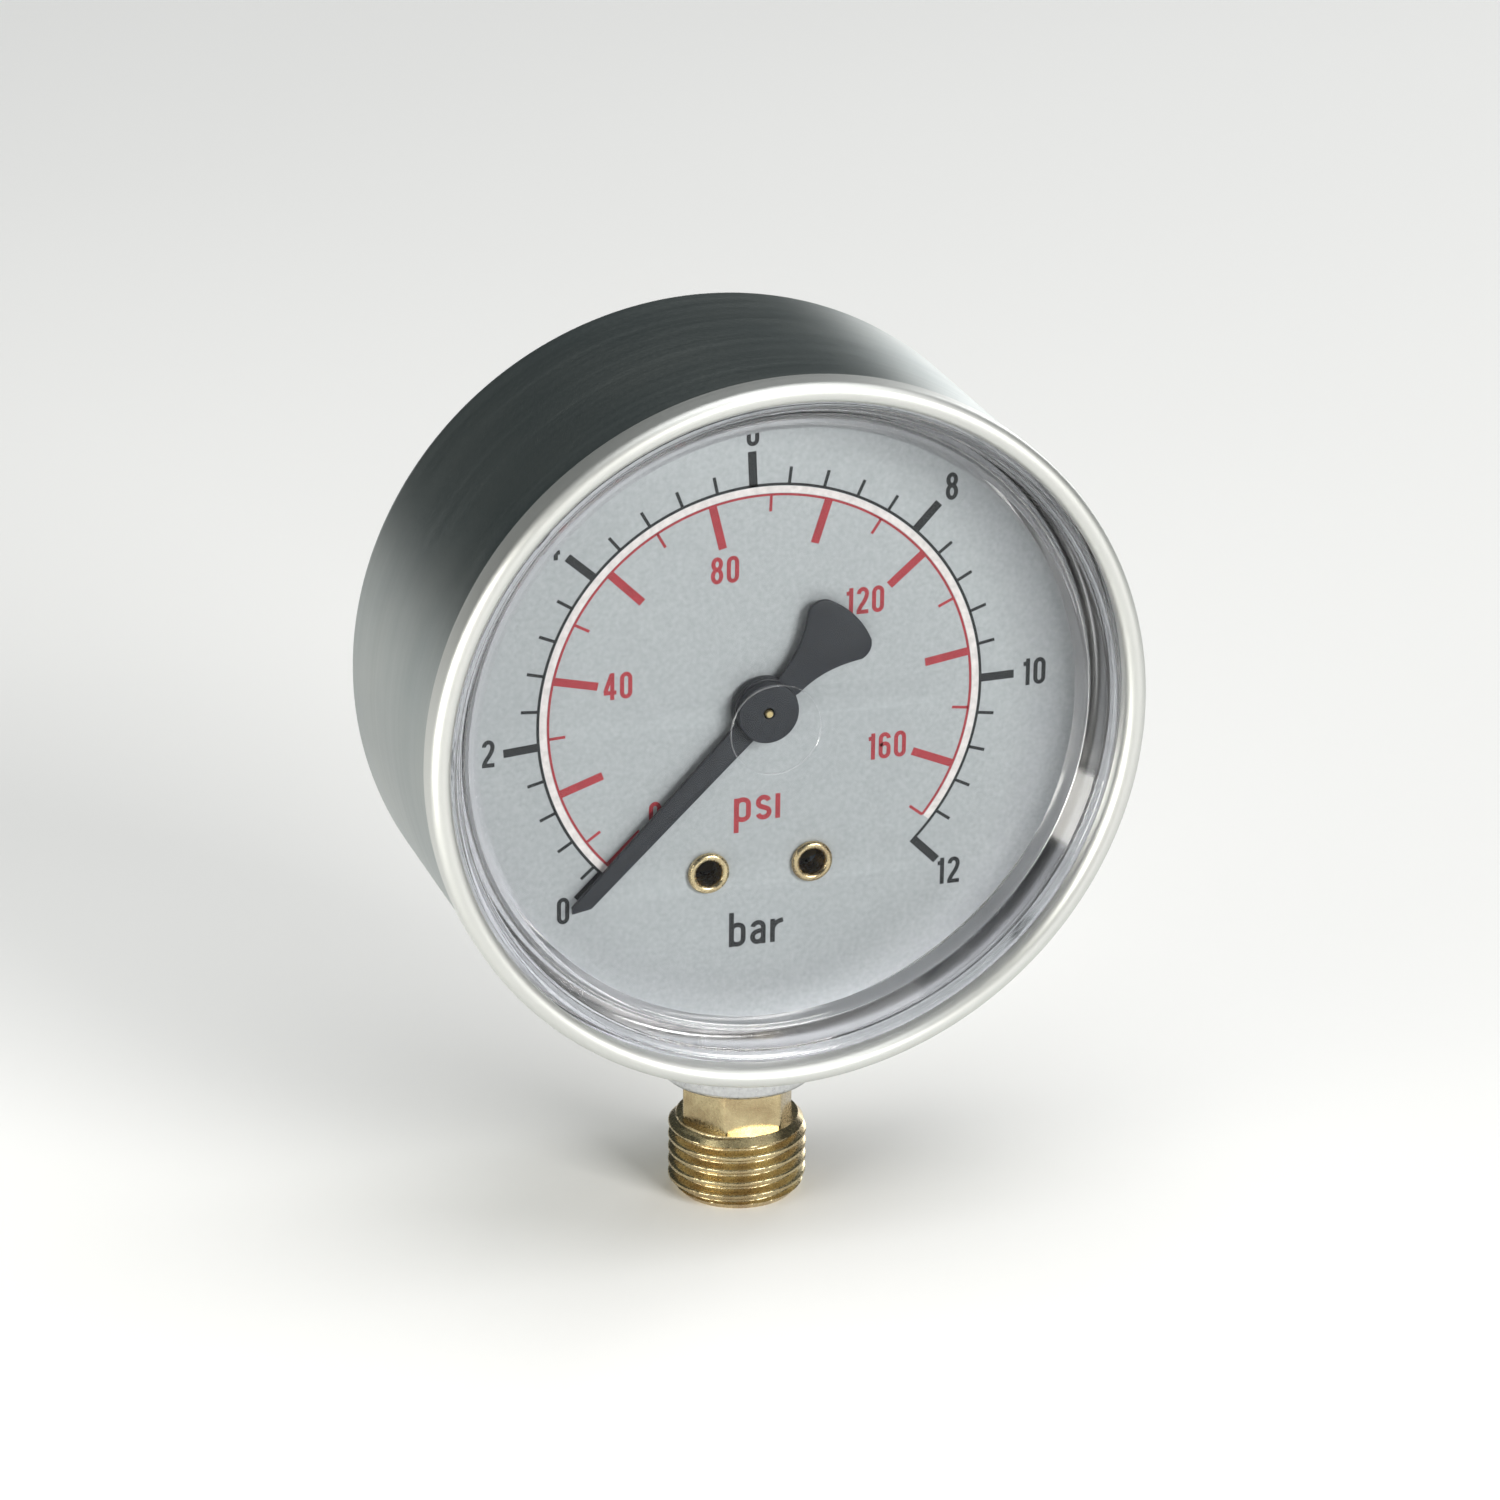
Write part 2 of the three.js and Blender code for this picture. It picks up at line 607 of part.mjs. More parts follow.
// The thread is a stack of ridges, one for each pitch.
function threadedEnd() {
  const points = [[0, 0], [THREAD_ROOT_RADIUS - 0.2, 0]];
  for (let ridge = 0; ridge < THREAD_RIDGES; ridge += 1) {
    const start = 0.35 + ridge * THREAD_PITCH;
    points.push([THREAD_ROOT_RADIUS, start]);
    points.push([THREAD_RADIUS, start + 0.5]);
    points.push([THREAD_RADIUS, start + 0.7]);
    points.push([THREAD_ROOT_RADIUS, start + 1.2]);
  }
  points.push([THREAD_ROOT_RADIUS, THREAD_TOP], [0, THREAD_TOP]);
  return upright(points, 30);
}

function stem() {
  const depth = (value) => value - BEAD_TO_STEM;
  const sides = [-BLOCK_HALF_WIDTH, BLOCK_HALF_WIDTH];
  const neck = new THREE.CylinderGeometry(NECK_FLATS / Math.sqrt(3), NECK_FLATS / Math.sqrt(3), 1, 6)
    .rotateY(Math.PI / 6)
    .rotateX(Math.PI / 2)
    .scale(1, 1, NECK_TOP - THREAD_TOP + 1)
    .translate(0, 0, (NECK_TOP + THREAD_TOP - 1) / 2);
  const shank = upright([
    [0, THREAD_TOP],
    [NECK_CORE_RADIUS, THREAD_TOP],
    [NECK_CORE_RADIUS, NECK_TOP],
    [SHANK_RADIUS, NECK_TOP],
    [SHANK_RADIUS, BLOCK_BOTTOM + 1],
    [0, BLOCK_BOTTOM + 1],
  ], 32);
  const lower = box(sides, [depth(BLOCK_FRONT), depth(BLOCK_BACK)], [BLOCK_BOTTOM, BLOCK_STEP]);
  const shelf = box(sides, [depth(SHELF_FRONT), depth(SHELF_BACK)], [BLOCK_STEP - 1, BLOCK_TOP]);
  const port = upright([[0, -1], [PORT_RADIUS, -1], [PORT_RADIUS, PORT_DEPTH], [0, PORT_DEPTH + 1.5]], FINE);
  const feedTop = AXIS_HEIGHT - TUBE_RADIUS + 0.6;
  const feed = upright([[0, PORT_DEPTH], [FEED_RADIUS, PORT_DEPTH], [FEED_RADIUS, feedTop], [0, feedTop]], 12);
  const crossFeed = new THREE.CylinderGeometry(0.9, 0.9, 7, 12).rotateZ(Math.PI / 2);
  const slotHalf = TUBE_WIDTH / 2 + 0.2;
  const slot = ringSector(
    TUBE_RADIUS - TUBE_THICKNESS / 2 - 0.2, TUBE_RADIUS + TUBE_THICKNESS / 2 + 0.2,
    240, TUBE_ROOT + 1, [TUBE_MIDDLE - slotHalf, TUBE_MIDDLE + slotHalf]);
  const movementBore = disc(1.05, [SHELF_FRONT - 1, SHELF_FRONT + 3.6]);
  const caseBore = disc(1.6, [BLOCK_BACK - 6, BLOCK_BACK + 1]);
  const inHead = (geometry, x, z) => at(geometry, x, -BEAD_TO_STEM, AXIS_HEIGHT + z);
  return cut(
    join(threadedEnd(), neck, shank, lower, shelf),
    port,
    feed,
    at(crossFeed, -3.4, 1.6, feedTop - 0.9),
    inHead(slot, 0, 0),
    inHead(movementBore, -MOVEMENT_SCREW[0], MOVEMENT_SCREW[1]),
    inHead(movementBore, MOVEMENT_SCREW[0], MOVEMENT_SCREW[1]),
    inHead(caseBore, -CASE_SCREW[0], CASE_SCREW[1]),
    inHead(caseBore, CASE_SCREW[0], CASE_SCREW[1]),
  );
}

// Ring round the neck, saddled to the case's round wall with a small gap.
function stemCollar() {
  const top = AXIS_HEIGHT - CASE_RADIUS + 2;
  const ring = upright([
    [COLLAR_BORE, COLLAR_BOTTOM],
    [COLLAR_RADIUS - 0.4, COLLAR_BOTTOM],
    [COLLAR_RADIUS, COLLAR_BOTTOM + 0.4],
    [COLLAR_RADIUS, top],
    [COLLAR_BORE, top],
    [COLLAR_BORE, COLLAR_BOTTOM],
  ], 32);
  const wall = disc(CASE_RADIUS + 0.3, [-15, 15], 96);
  return cut(ring, at(wall, 0, 0, AXIS_HEIGHT));
}

// ---- assembly -------------------------------------------------------------------------

const gauge = new THREE.Group();
gauge.add(brass('stem', stem()));
gauge.add(platedSteel('stem_collar', stemCollar()));

const head = new THREE.Group();
head.position.set(0, -BEAD_TO_STEM, AXIS_HEIGHT);
gauge.add(head);

function place(group, mesh, x, y, z) {
  mesh.position.set(x, y, z);
  group.add(mesh);
}

head.add(platedSteel('case_shell', caseShell()));
head.add(piece('window', windowCup(), 0xdfe4e6, 0.08, 0));
head.add(piece('dial_plate', dialPlate(), 0xb8bec3, 0.55, 0.2));
place(head, brass('dial_rivet_left', dialRivet()), -RIVET_SPAN / 2, 0, RIVET_HEIGHT);
place(head, brass('dial_rivet_right', dialRivet()), RIVET_SPAN / 2, 0, RIVET_HEIGHT);

const pointerGroup = new THREE.Group();
pointerGroup.rotation.y = -POINTER_REST;
pointerGroup.add(black('pointer', pointerBlade()));
pointerGroup.add(black('pointer_hub', pointerHub()));
head.add(pointerGroup);

head.add(brass('movement_front_plate', frontPlate()));
head.add(brass('movement_back_plate', backPlate()));
for (const [corner, [x, z]] of Object.entries(PILLARS)) {
  place(head, brass(`pillar_${corner}`, pillar()), x, 0, z);
  const screw = steel(`pillar_screw_${corner}`, slottedScrew(1.5, 0.85, 0.7, 4.6));
  screw.rotation.z = Math.PI;
  place(head, screw, x, BACK_PLATE[1] + 0.05, z);
}
for (const [side, sign] of [['left', -1], ['right', 1]]) {
  const movementScrew = steel(`movement_screw_${side}`, slottedScrew(1.6, 0.95, 0.95, 4.2));
  place(head, movementScrew, sign * MOVEMENT_SCREW[0], BACK_PLATE[0] - 0.05, MOVEMENT_SCREW[1]);
  const caseScrew = steel(`case_screw_${side}`, slottedScrew(2.7, 1.6, 1.5, 6));
  caseScrew.rotation.z = Math.PI;
  place(head, caseScrew, sign * CASE_SCREW[0], CASE_DEPTH + 0.05, CASE_SCREW[1]);
}

head.add(brass('pinion_arbor', pinionArbor()));
head.add(brass('hairspring_collet', hairspringCollet()));
head.add(piece('hairspring', hairspring(), 0xb08d57, 0.35, 0.9));
const stud = disc(0.5, [FRONT_PLATE[1] + 0.05, HAIRSPRING_LAYER[1] + 0.3]);
place(head, brass('hairspring_stud', stud), HAIRSPRING_END + HAIRSPRING_THICKNESS / 2 + 0.6, 0, 0);
place(head, brass('sector_gear', sectorGear()), SECTOR_ARBOR[0], 0, SECTOR_ARBOR[1]);
place(head, steel('sector_arbor', sectorArbor()), SECTOR_ARBOR[0], 0, SECTOR_ARBOR[1]);

head.add(piece('bourdon_tube', bourdonTube(), 0xb58a5a, 0.4, 0.9));
head.add(brass('tip_piece', tipPiece()));
place(head, brass('link', link()), TIP_PIVOT[0], 0, TIP_PIVOT[1]);
const tipPin = linkPin([LINK_LAYER[0] - 0.4, LINK_LAYER[1] + 1.2], true);
place(head, steel('link_pin_tip', tipPin), TIP_PIVOT[0], 0, TIP_PIVOT[1]);
const tailPin = linkPin([SECTOR_LAYER[0] - 0.2, LINK_LAYER[1] + 0.4], false);
place(head, steel('link_pin_sector', tailPin), TAIL_PIVOT[0], 0, TAIL_PIVOT[1]);

export default gauge;
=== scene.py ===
"""Bourdon tube pressure gauge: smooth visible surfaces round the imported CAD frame.

Sizes are in millimetres and become metres where a mesh or a light is made. A name that ends
in _M is in metres already. The head's own coordinates are x to the right and z up from the
dial's centre, and depth back from the plane through the middle of the front bead.
"""
import math

import bmesh
import bpy
from mathutils import Matrix, Vector


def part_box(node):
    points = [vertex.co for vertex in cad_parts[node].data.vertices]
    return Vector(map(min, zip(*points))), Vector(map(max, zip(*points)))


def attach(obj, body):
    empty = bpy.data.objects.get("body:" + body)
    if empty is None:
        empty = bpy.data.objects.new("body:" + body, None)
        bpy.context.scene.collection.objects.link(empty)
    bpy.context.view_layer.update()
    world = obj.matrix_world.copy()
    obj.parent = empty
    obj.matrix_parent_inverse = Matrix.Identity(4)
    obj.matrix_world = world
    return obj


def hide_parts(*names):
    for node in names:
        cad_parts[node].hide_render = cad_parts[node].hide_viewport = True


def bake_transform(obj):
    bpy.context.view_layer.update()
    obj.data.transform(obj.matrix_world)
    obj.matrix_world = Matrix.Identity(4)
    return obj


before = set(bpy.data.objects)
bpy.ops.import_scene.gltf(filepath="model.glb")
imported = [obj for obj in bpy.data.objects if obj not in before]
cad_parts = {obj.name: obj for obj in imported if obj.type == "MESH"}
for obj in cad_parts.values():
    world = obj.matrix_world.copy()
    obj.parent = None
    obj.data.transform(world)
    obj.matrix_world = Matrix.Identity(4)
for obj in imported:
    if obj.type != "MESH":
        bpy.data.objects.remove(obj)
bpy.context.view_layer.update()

MM = 0.001
BEAD_RADIUS = 0.95
BEAD_END = 2.3
DIAL_FRONT = 9.4
dial_low, dial_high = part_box("dial_plate")
AXIS_Z = (dial_low.z + dial_high.z) / 2 / MM
BEAD_Y = dial_low.y / MM - DIAL_FRONT

# ---- camera ---------------------------------------------------------------------------

CAMERA_AZIMUTH = -18.46
CAMERA_ELEVATION = 21.84
CAMERA_ROLL = 0.655
CAMERA_DISTANCE = 507.5
CAMERA_LENS = 135.47
CAMERA_TARGET = (-4.2, -15.2, 50.98)
SENSOR_WIDTH = 36
CLIP_NEAR_M = 0.01
CLIP_FAR_M = 20


def add_camera():
    angles = (CAMERA_AZIMUTH, CAMERA_ELEVATION, CAMERA_ROLL)
    azimuth, elevation, roll = (math.radians(degrees) for degrees in angles)
    back = Vector((
        math.sin(azimuth) * math.cos(elevation),
        -math.cos(azimuth) * math.cos(elevation),
        math.sin(elevation),
    ))
    level = Vector((math.cos(azimuth), math.sin(azimuth), 0))
    upright = back.cross(level)
    right = level * math.cos(roll) + upright * math.sin(roll)
    up = upright * math.cos(roll) - level * math.sin(roll)
    data = bpy.data.cameras.new("camera")
    data.lens = CAMERA_LENS
    data.sensor_width = SENSOR_WIDTH
    data.clip_start = CLIP_NEAR_M
    data.clip_end = CLIP_FAR_M
    camera = bpy.data.objects.new("camera", data)
    turn = Matrix((right, up, back)).transposed().to_4x4()
    place = (Vector(CAMERA_TARGET) + back * CAMERA_DISTANCE) * MM
    camera.matrix_world = Matrix.Translation(place) @ turn
    bpy.context.scene.collection.objects.link(camera)
    bpy.context.scene.camera = camera


# ---- meshes ---------------------------------------------------------------------------

SMOOTH_ANGLE = math.radians(32)
BEVEL_ANGLE = math.radians(30)
MERGE_DISTANCE_M = 1e-7
AXIS_RADIUS = 1e-6


def head(x, z, depth):
    """A point of the head, in metres in the row frame."""
    return Vector((x * MM, (BEAD_Y + depth) * MM, (AXIS_Z + z) * MM))


def smooth_faces(mesh):
    """Smooth shading, with the edges sharper than SMOOTH_ANGLE kept sharp."""
    mesh.shade_smooth()
    mesh.set_sharp_from_angle(angle=SMOOTH_ANGLE)


def face_outward(mesh, merge=False):
    """Turns every face outward, after joining doubled points if merge is set."""
    bm = bmesh.new()
    bm.from_mesh(mesh)
    if merge:
        bmesh.ops.remove_doubles(bm, verts=bm.verts, dist=MERGE_DISTANCE_M)
    bmesh.ops.recalc_face_normals(bm, faces=bm.faces)
    bm.to_mesh(mesh)
    bm.free()


def add_object(name, data):
    piece = bpy.data.objects.new(name, data)
    bpy.context.scene.collection.objects.link(piece)
    return piece


def make_object(name, vertices, faces, materials, smooth=True):
    mesh = bpy.data.meshes.new(name)
    mesh.from_pydata([tuple(v) for v in vertices], [], faces)
    mesh.validate()
    for material in materials:
        mesh.materials.append(material)
    face_outward(mesh)
    if smooth:
        smooth_faces(mesh)
    return add_object(name, mesh)


def rounded(points, radius, steps=4, closed=False):
    """The same line with each corner rounded, by less where its edges are short."""
    result = []
    count = len(points)
    for i, point in enumerate(points):
        here = Vector(point)
        if not closed and i in (0, count - 1):
            result.append(tuple(here))
            continue
        before = Vector(points[i - 1]) - here
        after = Vector(points[(i + 1) % count]) - here
        reach = min(radius, 0.45 * before.length, 0.45 * after.length)
        enter = here + before.normalized() * reach
        leave = here + after.normalized() * reach
        for step in range(steps + 1):
            t = step / steps
            result.append(tuple(enter * (1 - t) ** 2 + here * 2 * t * (1 - t) + leave * t * t))
    return result


def revolve(profile, sides, place, closed=False):
    """Vertices and faces of a turned part. place turns (radius, angle, height) into a point."""
    vertices, faces, rows = [], [], []
    for radius, height in profile:
        if radius < AXIS_RADIUS:
            rows.append([len(vertices)] * sides)
            vertices.append(place(0, 0, height))
            continue
        rows.append(list(range(len(vertices), len(vertices) + sides)))
        for side in range(sides):
            vertices.append(place(radius, 2 * math.pi * side / sides, height))
    following = rows[1:] + rows[:1] if closed else rows[1:]
    for low, high in zip(rows, following):
        for side in range(sides):
            after = (side + 1) % sides
            corners = [low[side], low[after], high[after], high[side]]
            face = list(dict.fromkeys(corners))
            if len(face) > 2:
                faces.append(face)
    return vertices, faces


def turned(name, profile, materials, centre=(0, 0), sides=128, closed=False):
    """A part turned about the dial's axis or a line parallel to it, from [radius, depth]."""
    def place(radius, angle, depth):
        x = centre[0] + radius * math.cos(angle)
        z = centre[1] + radius * math.sin(angle)
        return head(x, z, depth)

    return make_object(name, *revolve(profile, sides, place, closed), materials)


def upright(name, profile, materials, sides=128, closed=False):
    """A part turned about the stem's axis, from [radius, height above the stem's end]."""
    def place(radius, angle, height):
        return Vector((radius * math.cos(angle), radius * math.sin(angle), height)) * MM

    return make_object(name, *revolve(profile, sides, place, closed), materials)


def prism(name, outline, low, high, place, materials):
    """A closed prism over an outline of (x, y) points, between two levels."""
    count = len(outline)
    vertices = [place(x, y, low) for x, y in outline] + [place(x, y, high) for x, y in outline]
    faces = [list(range(count)), list(range(count, 2 * count))]
    for i in range(count):
        after = (i + 1) % count
        faces.append([i, after, count + after, count + i])
    return make_object(name, vertices, faces, materials)


def standing(x, y, z):
    """A point of the row frame, in metres from millimetres."""
    return Vector((x, y, z)) * MM


def shape(piece, others, operation):
    """Joins other meshes to a piece or cuts them from it, and removes them."""
    for other in others:
        modifier = piece.modifiers.new("shape", "BOOLEAN")
        modifier.operation = operation
        modifier.solver = "EXACT"
        modifier.object = other
    apply_modifiers(piece)
    for other in others:
        bpy.data.objects.remove(other)
    return piece


def apply_modifiers(piece):
    """Replaces a piece's mesh by the one its modifiers make."""
    bpy.context.view_layer.update()
    evaluated = piece.evaluated_get(bpy.context.evaluated_depsgraph_get())
    mesh = bpy.data.meshes.new_from_object(evaluated)
    piece.modifiers.clear()
    piece.data = mesh
    smooth_faces(mesh)


def bevelled(piece, width):
    modifier = piece.modifiers.new("bevel", "BEVEL")
    modifier.width = width * MM
    modifier.segments = 3
    modifier.limit_method = "ANGLE"
    modifier.angle_limit = BEVEL_ANGLE
    modifier.use_clamp_overlap = True
    apply_modifiers(piece)
    return piece


def flat_piece(name, loops, front, back, bevel, materials):
    """A sheet in the dial's plane with rounded edges: an outline, then any holes."""
    curve = bpy.data.curves.new(name, "CURVE")
    curve.dimensions = "2D"
    curve.fill_mode = "BOTH"
    curve.bevel_depth = bevel * MM
    curve.offset = -bevel * MM
    curve.bevel_resolution = 2
    curve.extrude = ((back - front) / 2 - bevel) * MM
    for loop in loops:
        spline = curve.splines.new("POLY")
        spline.points.add(len(loop) - 1)
        for point, (x, y) in zip(spline.points, loop):
            point.co = (x * MM, y * MM, 0, 1)
        spline.use_cyclic_u = True
    holder = add_object(name + "_curve", curve)
    bpy.context.view_layer.update()
    evaluated = holder.evaluated_get(bpy.context.evaluated_depsgraph_get())
    mesh = bpy.data.meshes.new_from_object(evaluated)
    bpy.data.objects.remove(holder)
    turn = Matrix.Rotation(math.pi / 2, 4, "X")
    mesh.transform(Matrix.Translation(head(0, 0, (front + back) / 2)) @ turn)
    mesh.materials.clear()
    for material in materials:
        mesh.materials.append(material)
    face_outward(mesh, merge=True)
    smooth_faces(mesh)
    return add_object(name, mesh)


def rod(radius, low, high):
    """The profile of a plain cylinder, for revolve."""
    return [(0, low), (radius, low), (radius, high), (0, high)]


def polar(radius, degrees):
    """The point at a radius and a bearing, counted from the first axis towards the second."""
    return (radius * math.cos(math.radians(degrees)), radius * math.sin(math.radians(degrees)))


def circle(x, y, radius, count=48):
    return [(x + dx, y + dy) for dx, dy in (polar(radius, 360 * i / count) for i in range(count))]


def bend(x, y, reach_x, reach_y, start, end, steps=14):
    """Points along an elliptical arc, between two bearings in degrees."""
    points = []
    for step in range(steps + 1):
        angle = math.radians(start + (end - start) * step / steps)
        points.append((x + reach_x * math.cos(angle), y + reach_y * math.sin(angle)))
    return points


def curved(start, pull, end, steps=8):
    """Points along a quadratic curve, without its first point."""
    points = []
    for step in range(1, steps + 1):
        t = step / steps
        points.append(tuple(
            a * (1 - t) ** 2 + b * 2 * t * (1 - t) + c * t * t for a, b, c in zip(start, pull, end)
        ))
    return points


def cubic(start, first, second, end, steps=10):
    """Points along a cubic curve, without its first point."""
    corners = (start, first, second, end)
    points = []
    for step in range(1, steps + 1):
        t = step / steps
        shares = ((1 - t) ** 3, 3 * t * (1 - t) ** 2, 3 * t * t * (1 - t), t ** 3)
        points.append(tuple(
            sum(share * corner[axis] for share, corner in zip(shares, corners)) for axis in (0, 1)
        ))
    return points


# ---- materials ------------------------------------------------------------------------


class Nodes:
    """A material under construction, with short names for the nodes that the finishes share."""

    def __init__(self, name):
        self.material = bpy.data.materials.new(name)
        self.material.use_nodes = True
        self.tree = self.material.node_tree
        self.tree.nodes.clear()
        self.output = self.tree.nodes.new("ShaderNodeOutputMaterial")

    def add(self, kind, inputs=None, **settings):
        node = self.tree.nodes.new("ShaderNode" + kind)
        for key, value in settings.items():
            setattr(node, key, value)
        for key, value in (inputs or {}).items():
            if isinstance(value, bpy.types.NodeSocket):
                self.tree.links.new(value, node.inputs[key])
            else:
                node.inputs[key].default_value = value
        return node

    def place(self):
        """Where a point lies on its piece, in metres."""
        return self.add("TexCoord").outputs["Object"]

    def noise(self, vector, scale, detail=2.0, roughness=0.5):
        inputs = {"Vector": vector, "Scale": scale, "Detail": detail, "Roughness": roughness}
        return self.add("TexNoise", inputs).outputs["Fac"]

    def ramp(self, factor, stops):
        node = self.add("ValToRGB", {"Fac": factor})
        elements = node.color_ramp.elements
        while len(elements) < len(stops):
            elements.new(0.5)
        for element, (position, color) in zip(elements, stops):
            element.position = position
            element.color = (*color, 1)
        return node.outputs["Color"]

    def span(self, factor, low, high):
        """A factor from 0 to 1 spread between two values."""
        inputs = {"Value": factor, "To Min": low, "To Max": high}
        return self.add("MapRange", inputs).outputs["Result"]

    def falling(self, value, start, end):
        """1 up to the start and 0 from the end on, both in millimetres."""
        inputs = {
            "Value": value, "From Min": start * MM, "From Max": end * MM, "To Min": 1.0, "To Max": 0.0,
        }
        return self.add("MapRange", inputs).outputs["Result"]

    def math(self, operation, first, second=0.0):
        return self.add("Math", {0: first, 1: second}, operation=operation).outputs[0]

    def mix(self, factor, first, second):
        """A mix of two colours, by the numbers that the Mix node gives its colour sockets."""
        node = self.add("Mix", data_type="RGBA")
        for number, value in ((0, factor), (6, first), (7, second)):
            if isinstance(value, bpy.types.NodeSocket):
                self.tree.links.new(value, node.inputs[number])
            else:
                color = (*value, 1) if isinstance(value, tuple) else value
                node.inputs[number].default_value = color
        return node.outputs[2]

    def bump(self, height, distance, strength=1.0):
        inputs = {"Height": height, "Distance": distance * MM, "Strength": strength}
        return self.add("Bump", inputs).outputs["Normal"]

    def from_axis(self, place):
        """The distance from the dial's axis."""
        parts = self.add("SeparateXYZ", {"Vector": place}).outputs
        height = self.math("SUBTRACT", parts["Z"], AXIS_Z * MM)
        flat = self.add("CombineXYZ", {"X": parts["X"], "Y": height})
        return self.add("VectorMath", {0: flat.outputs[0]}, operation="LENGTH").outputs["Value"]

    def rings(self, across, around):
        """A place whose noise runs in rings round the dial's axis: fine across, slow around."""
        place = self.place()
        parts = self.add("SeparateXYZ", {"Vector": place}).outputs
        height = self.math("SUBTRACT", parts["Z"], AXIS_Z * MM)
        radius = self.from_axis(place)
        turn_x = self.math("MULTIPLY", parts["X"], around)
        turn_z = self.math("MULTIPLY", height, around)
        across_radius = self.math("ADD", self.math("MULTIPLY", radius, across), turn_x)
        across_depth = self.math("MULTIPLY", parts["Y"], across)
        return self.add("CombineXYZ", {"X": across_radius, "Y": across_depth, "Z": turn_z}).outputs[0]

    def principled(self, **sockets):
        inputs = {}
        for key, value in sockets.items():
            inputs[key.replace("_", " ")] = (*value, 1) if isinstance(value, tuple) else value
        return self.add("BsdfPrincipled", inputs).outputs[0]

    def finish(self, surface):
        self.tree.links.new(surface, self.output.inputs["Surface"])
        return self.material


# Painted light on the case: the masks and the paler tone that light up the front bead and flange and the
# inner wall.
FRONT_FADE = 0.3
INSIDE_PAINTED_LIGHT_FADE = (33.1, 33.4)
PAINTED_LIGHT_TONE = (0.63, 0.64, 0.62)
FRONT_ROUGHER = 0.16


def plated_steel_painted_light():
    """Zinc-plated drawn steel: rings, speckle and clouds, with painted light: the front bead and flange and
    the inside are painted paler than the outer wall, as light falling there.
    """
    nodes = Nodes("plated_steel_painted_light")
    place = nodes.place()
    clouds = nodes.noise(place, 90, 3)
    speckle = nodes.noise(place, 2600, 2)
    rings = nodes.noise(nodes.rings(900, 25), 1, 3, 0.6)
    tone = nodes.ramp(clouds, [(0.3, (0.29, 0.33, 0.33)), (0.7, (0.36, 0.39, 0.38))])
    tone = nodes.mix(nodes.span(speckle, 0.0, 0.3), tone, (0.50, 0.52, 0.50))
    depth = nodes.add("SeparateXYZ", {"Vector": place}).outputs["Y"]
    bead_back = BEAD_Y + BEAD_END
    # Front mask: it paints the bead and flange paler (painted light) and also makes them rougher, a satin
    # finish.
    front = nodes.falling(depth, bead_back, bead_back + FRONT_FADE)
    # Inside mask: the inner wall is painted pale, as painted light on a wall the lamps reach poorly.
    inside = nodes.falling(nodes.from_axis(place), *INSIDE_PAINTED_LIGHT_FADE)
    # Painted light: the pale tone wherever the front or the inside mask is on.
    tone = nodes.mix(nodes.math("MAXIMUM", front, inside), tone, PAINTED_LIGHT_TONE)
    half_speckle = nodes.math("MULTIPLY", speckle, 0.5)
    rough = nodes.span(nodes.math("ADD", rings, half_speckle), 0.22, 0.38)
    rough = nodes.math("ADD", rough, nodes.math("MULTIPLY", front, FRONT_ROUGHER))
    height = nodes.math("ADD", nodes.math("MULTIPLY", rings, 0.7), half_speckle)
    return nodes.finish(nodes.principled(
        Base_Color=tone, Metallic=1.0, Roughness=rough, Normal=nodes.bump(height, 0.02, 0.5),
    ))


def brass(name, low, high, roughness):
    """Machined brass with tarnish clouds and fine tool marks."""
    nodes = Nodes(name)
    place = nodes.place()
    clouds = nodes.noise(place, 260, 4, 0.6)
    marks = nodes.noise(place, 3200, 2)
    tone = nodes.ramp(clouds, [(0.35, low), (0.65, high)])
    rough = nodes.span(marks, roughness - 0.07, roughness + 0.1)
    return nodes.finish(nodes.principled(
        Base_Color=tone, Metallic=1.0, Roughness=rough, Normal=nodes.bump(marks, 0.01, 0.5),
    ))


def bright_steel():
    """Bright steel of the collar, the screws, the sector's arbor and the link's pins."""
    nodes = Nodes("bright_steel")
    place = nodes.place()
    marks = nodes.noise(place, 2400, 3)
    tone = nodes.ramp(marks, [(0.3, (0.52, 0.53, 0.54)), (0.7, (0.66, 0.67, 0.67))])
    return nodes.finish(nodes.principled(
        Base_Color=tone, Metallic=1.0, Roughness=nodes.span(marks, 0.2, 0.4),
        Normal=nodes.bump(marks, 0.01, 0.5),
    ))


def dial_face():
    """Silver-grey sheet with a fine grain."""
    nodes = Nodes("dial_face")
    place = nodes.place()
    grain = nodes.noise(place, 2200, 3, 0.6)
    clouds = nodes.noise(place, 120, 2)
    tone = nodes.ramp(grain, [(0.3, (0.39, 0.41, 0.43)), (0.7, (0.49, 0.51, 0.53))])
    tone = nodes.mix(nodes.span(clouds, 0.0, 0.3), tone, (0.42, 0.44, 0.47))
    return nodes.finish(nodes.principled(
        Base_Color=tone, Metallic=0.2, Roughness=nodes.span(grain, 0.48, 0.62),
        Normal=nodes.bump(grain, 0.01, 0.4),
    ))


def ink(name, color):
    """Printing ink, slightly uneven."""
    nodes = Nodes(name)
    patches = nodes.noise(nodes.place(), 1800, 2)
    darker = tuple(0.8 * part for part in color)
    tone = nodes.ramp(patches, [(0.3, darker), (0.7, color)])
    return nodes.finish(nodes.principled(Base_Color=tone, Roughness=nodes.span(patches, 0.45, 0.6)))


def pointer_paint():
    """Matt blue-black paint with a light orange peel."""
    nodes = Nodes("pointer_paint")
    grain = nodes.noise(nodes.place(), 1500, 3)
    tone = nodes.ramp(grain, [(0.3, (0.008, 0.010, 0.016)), (0.7, (0.016, 0.019, 0.028))])
    return nodes.finish(nodes.principled(
        Base_Color=tone, Roughness=nodes.span(grain, 0.42, 0.58), Normal=nodes.bump(grain, 0.01, 0.5),
    ))


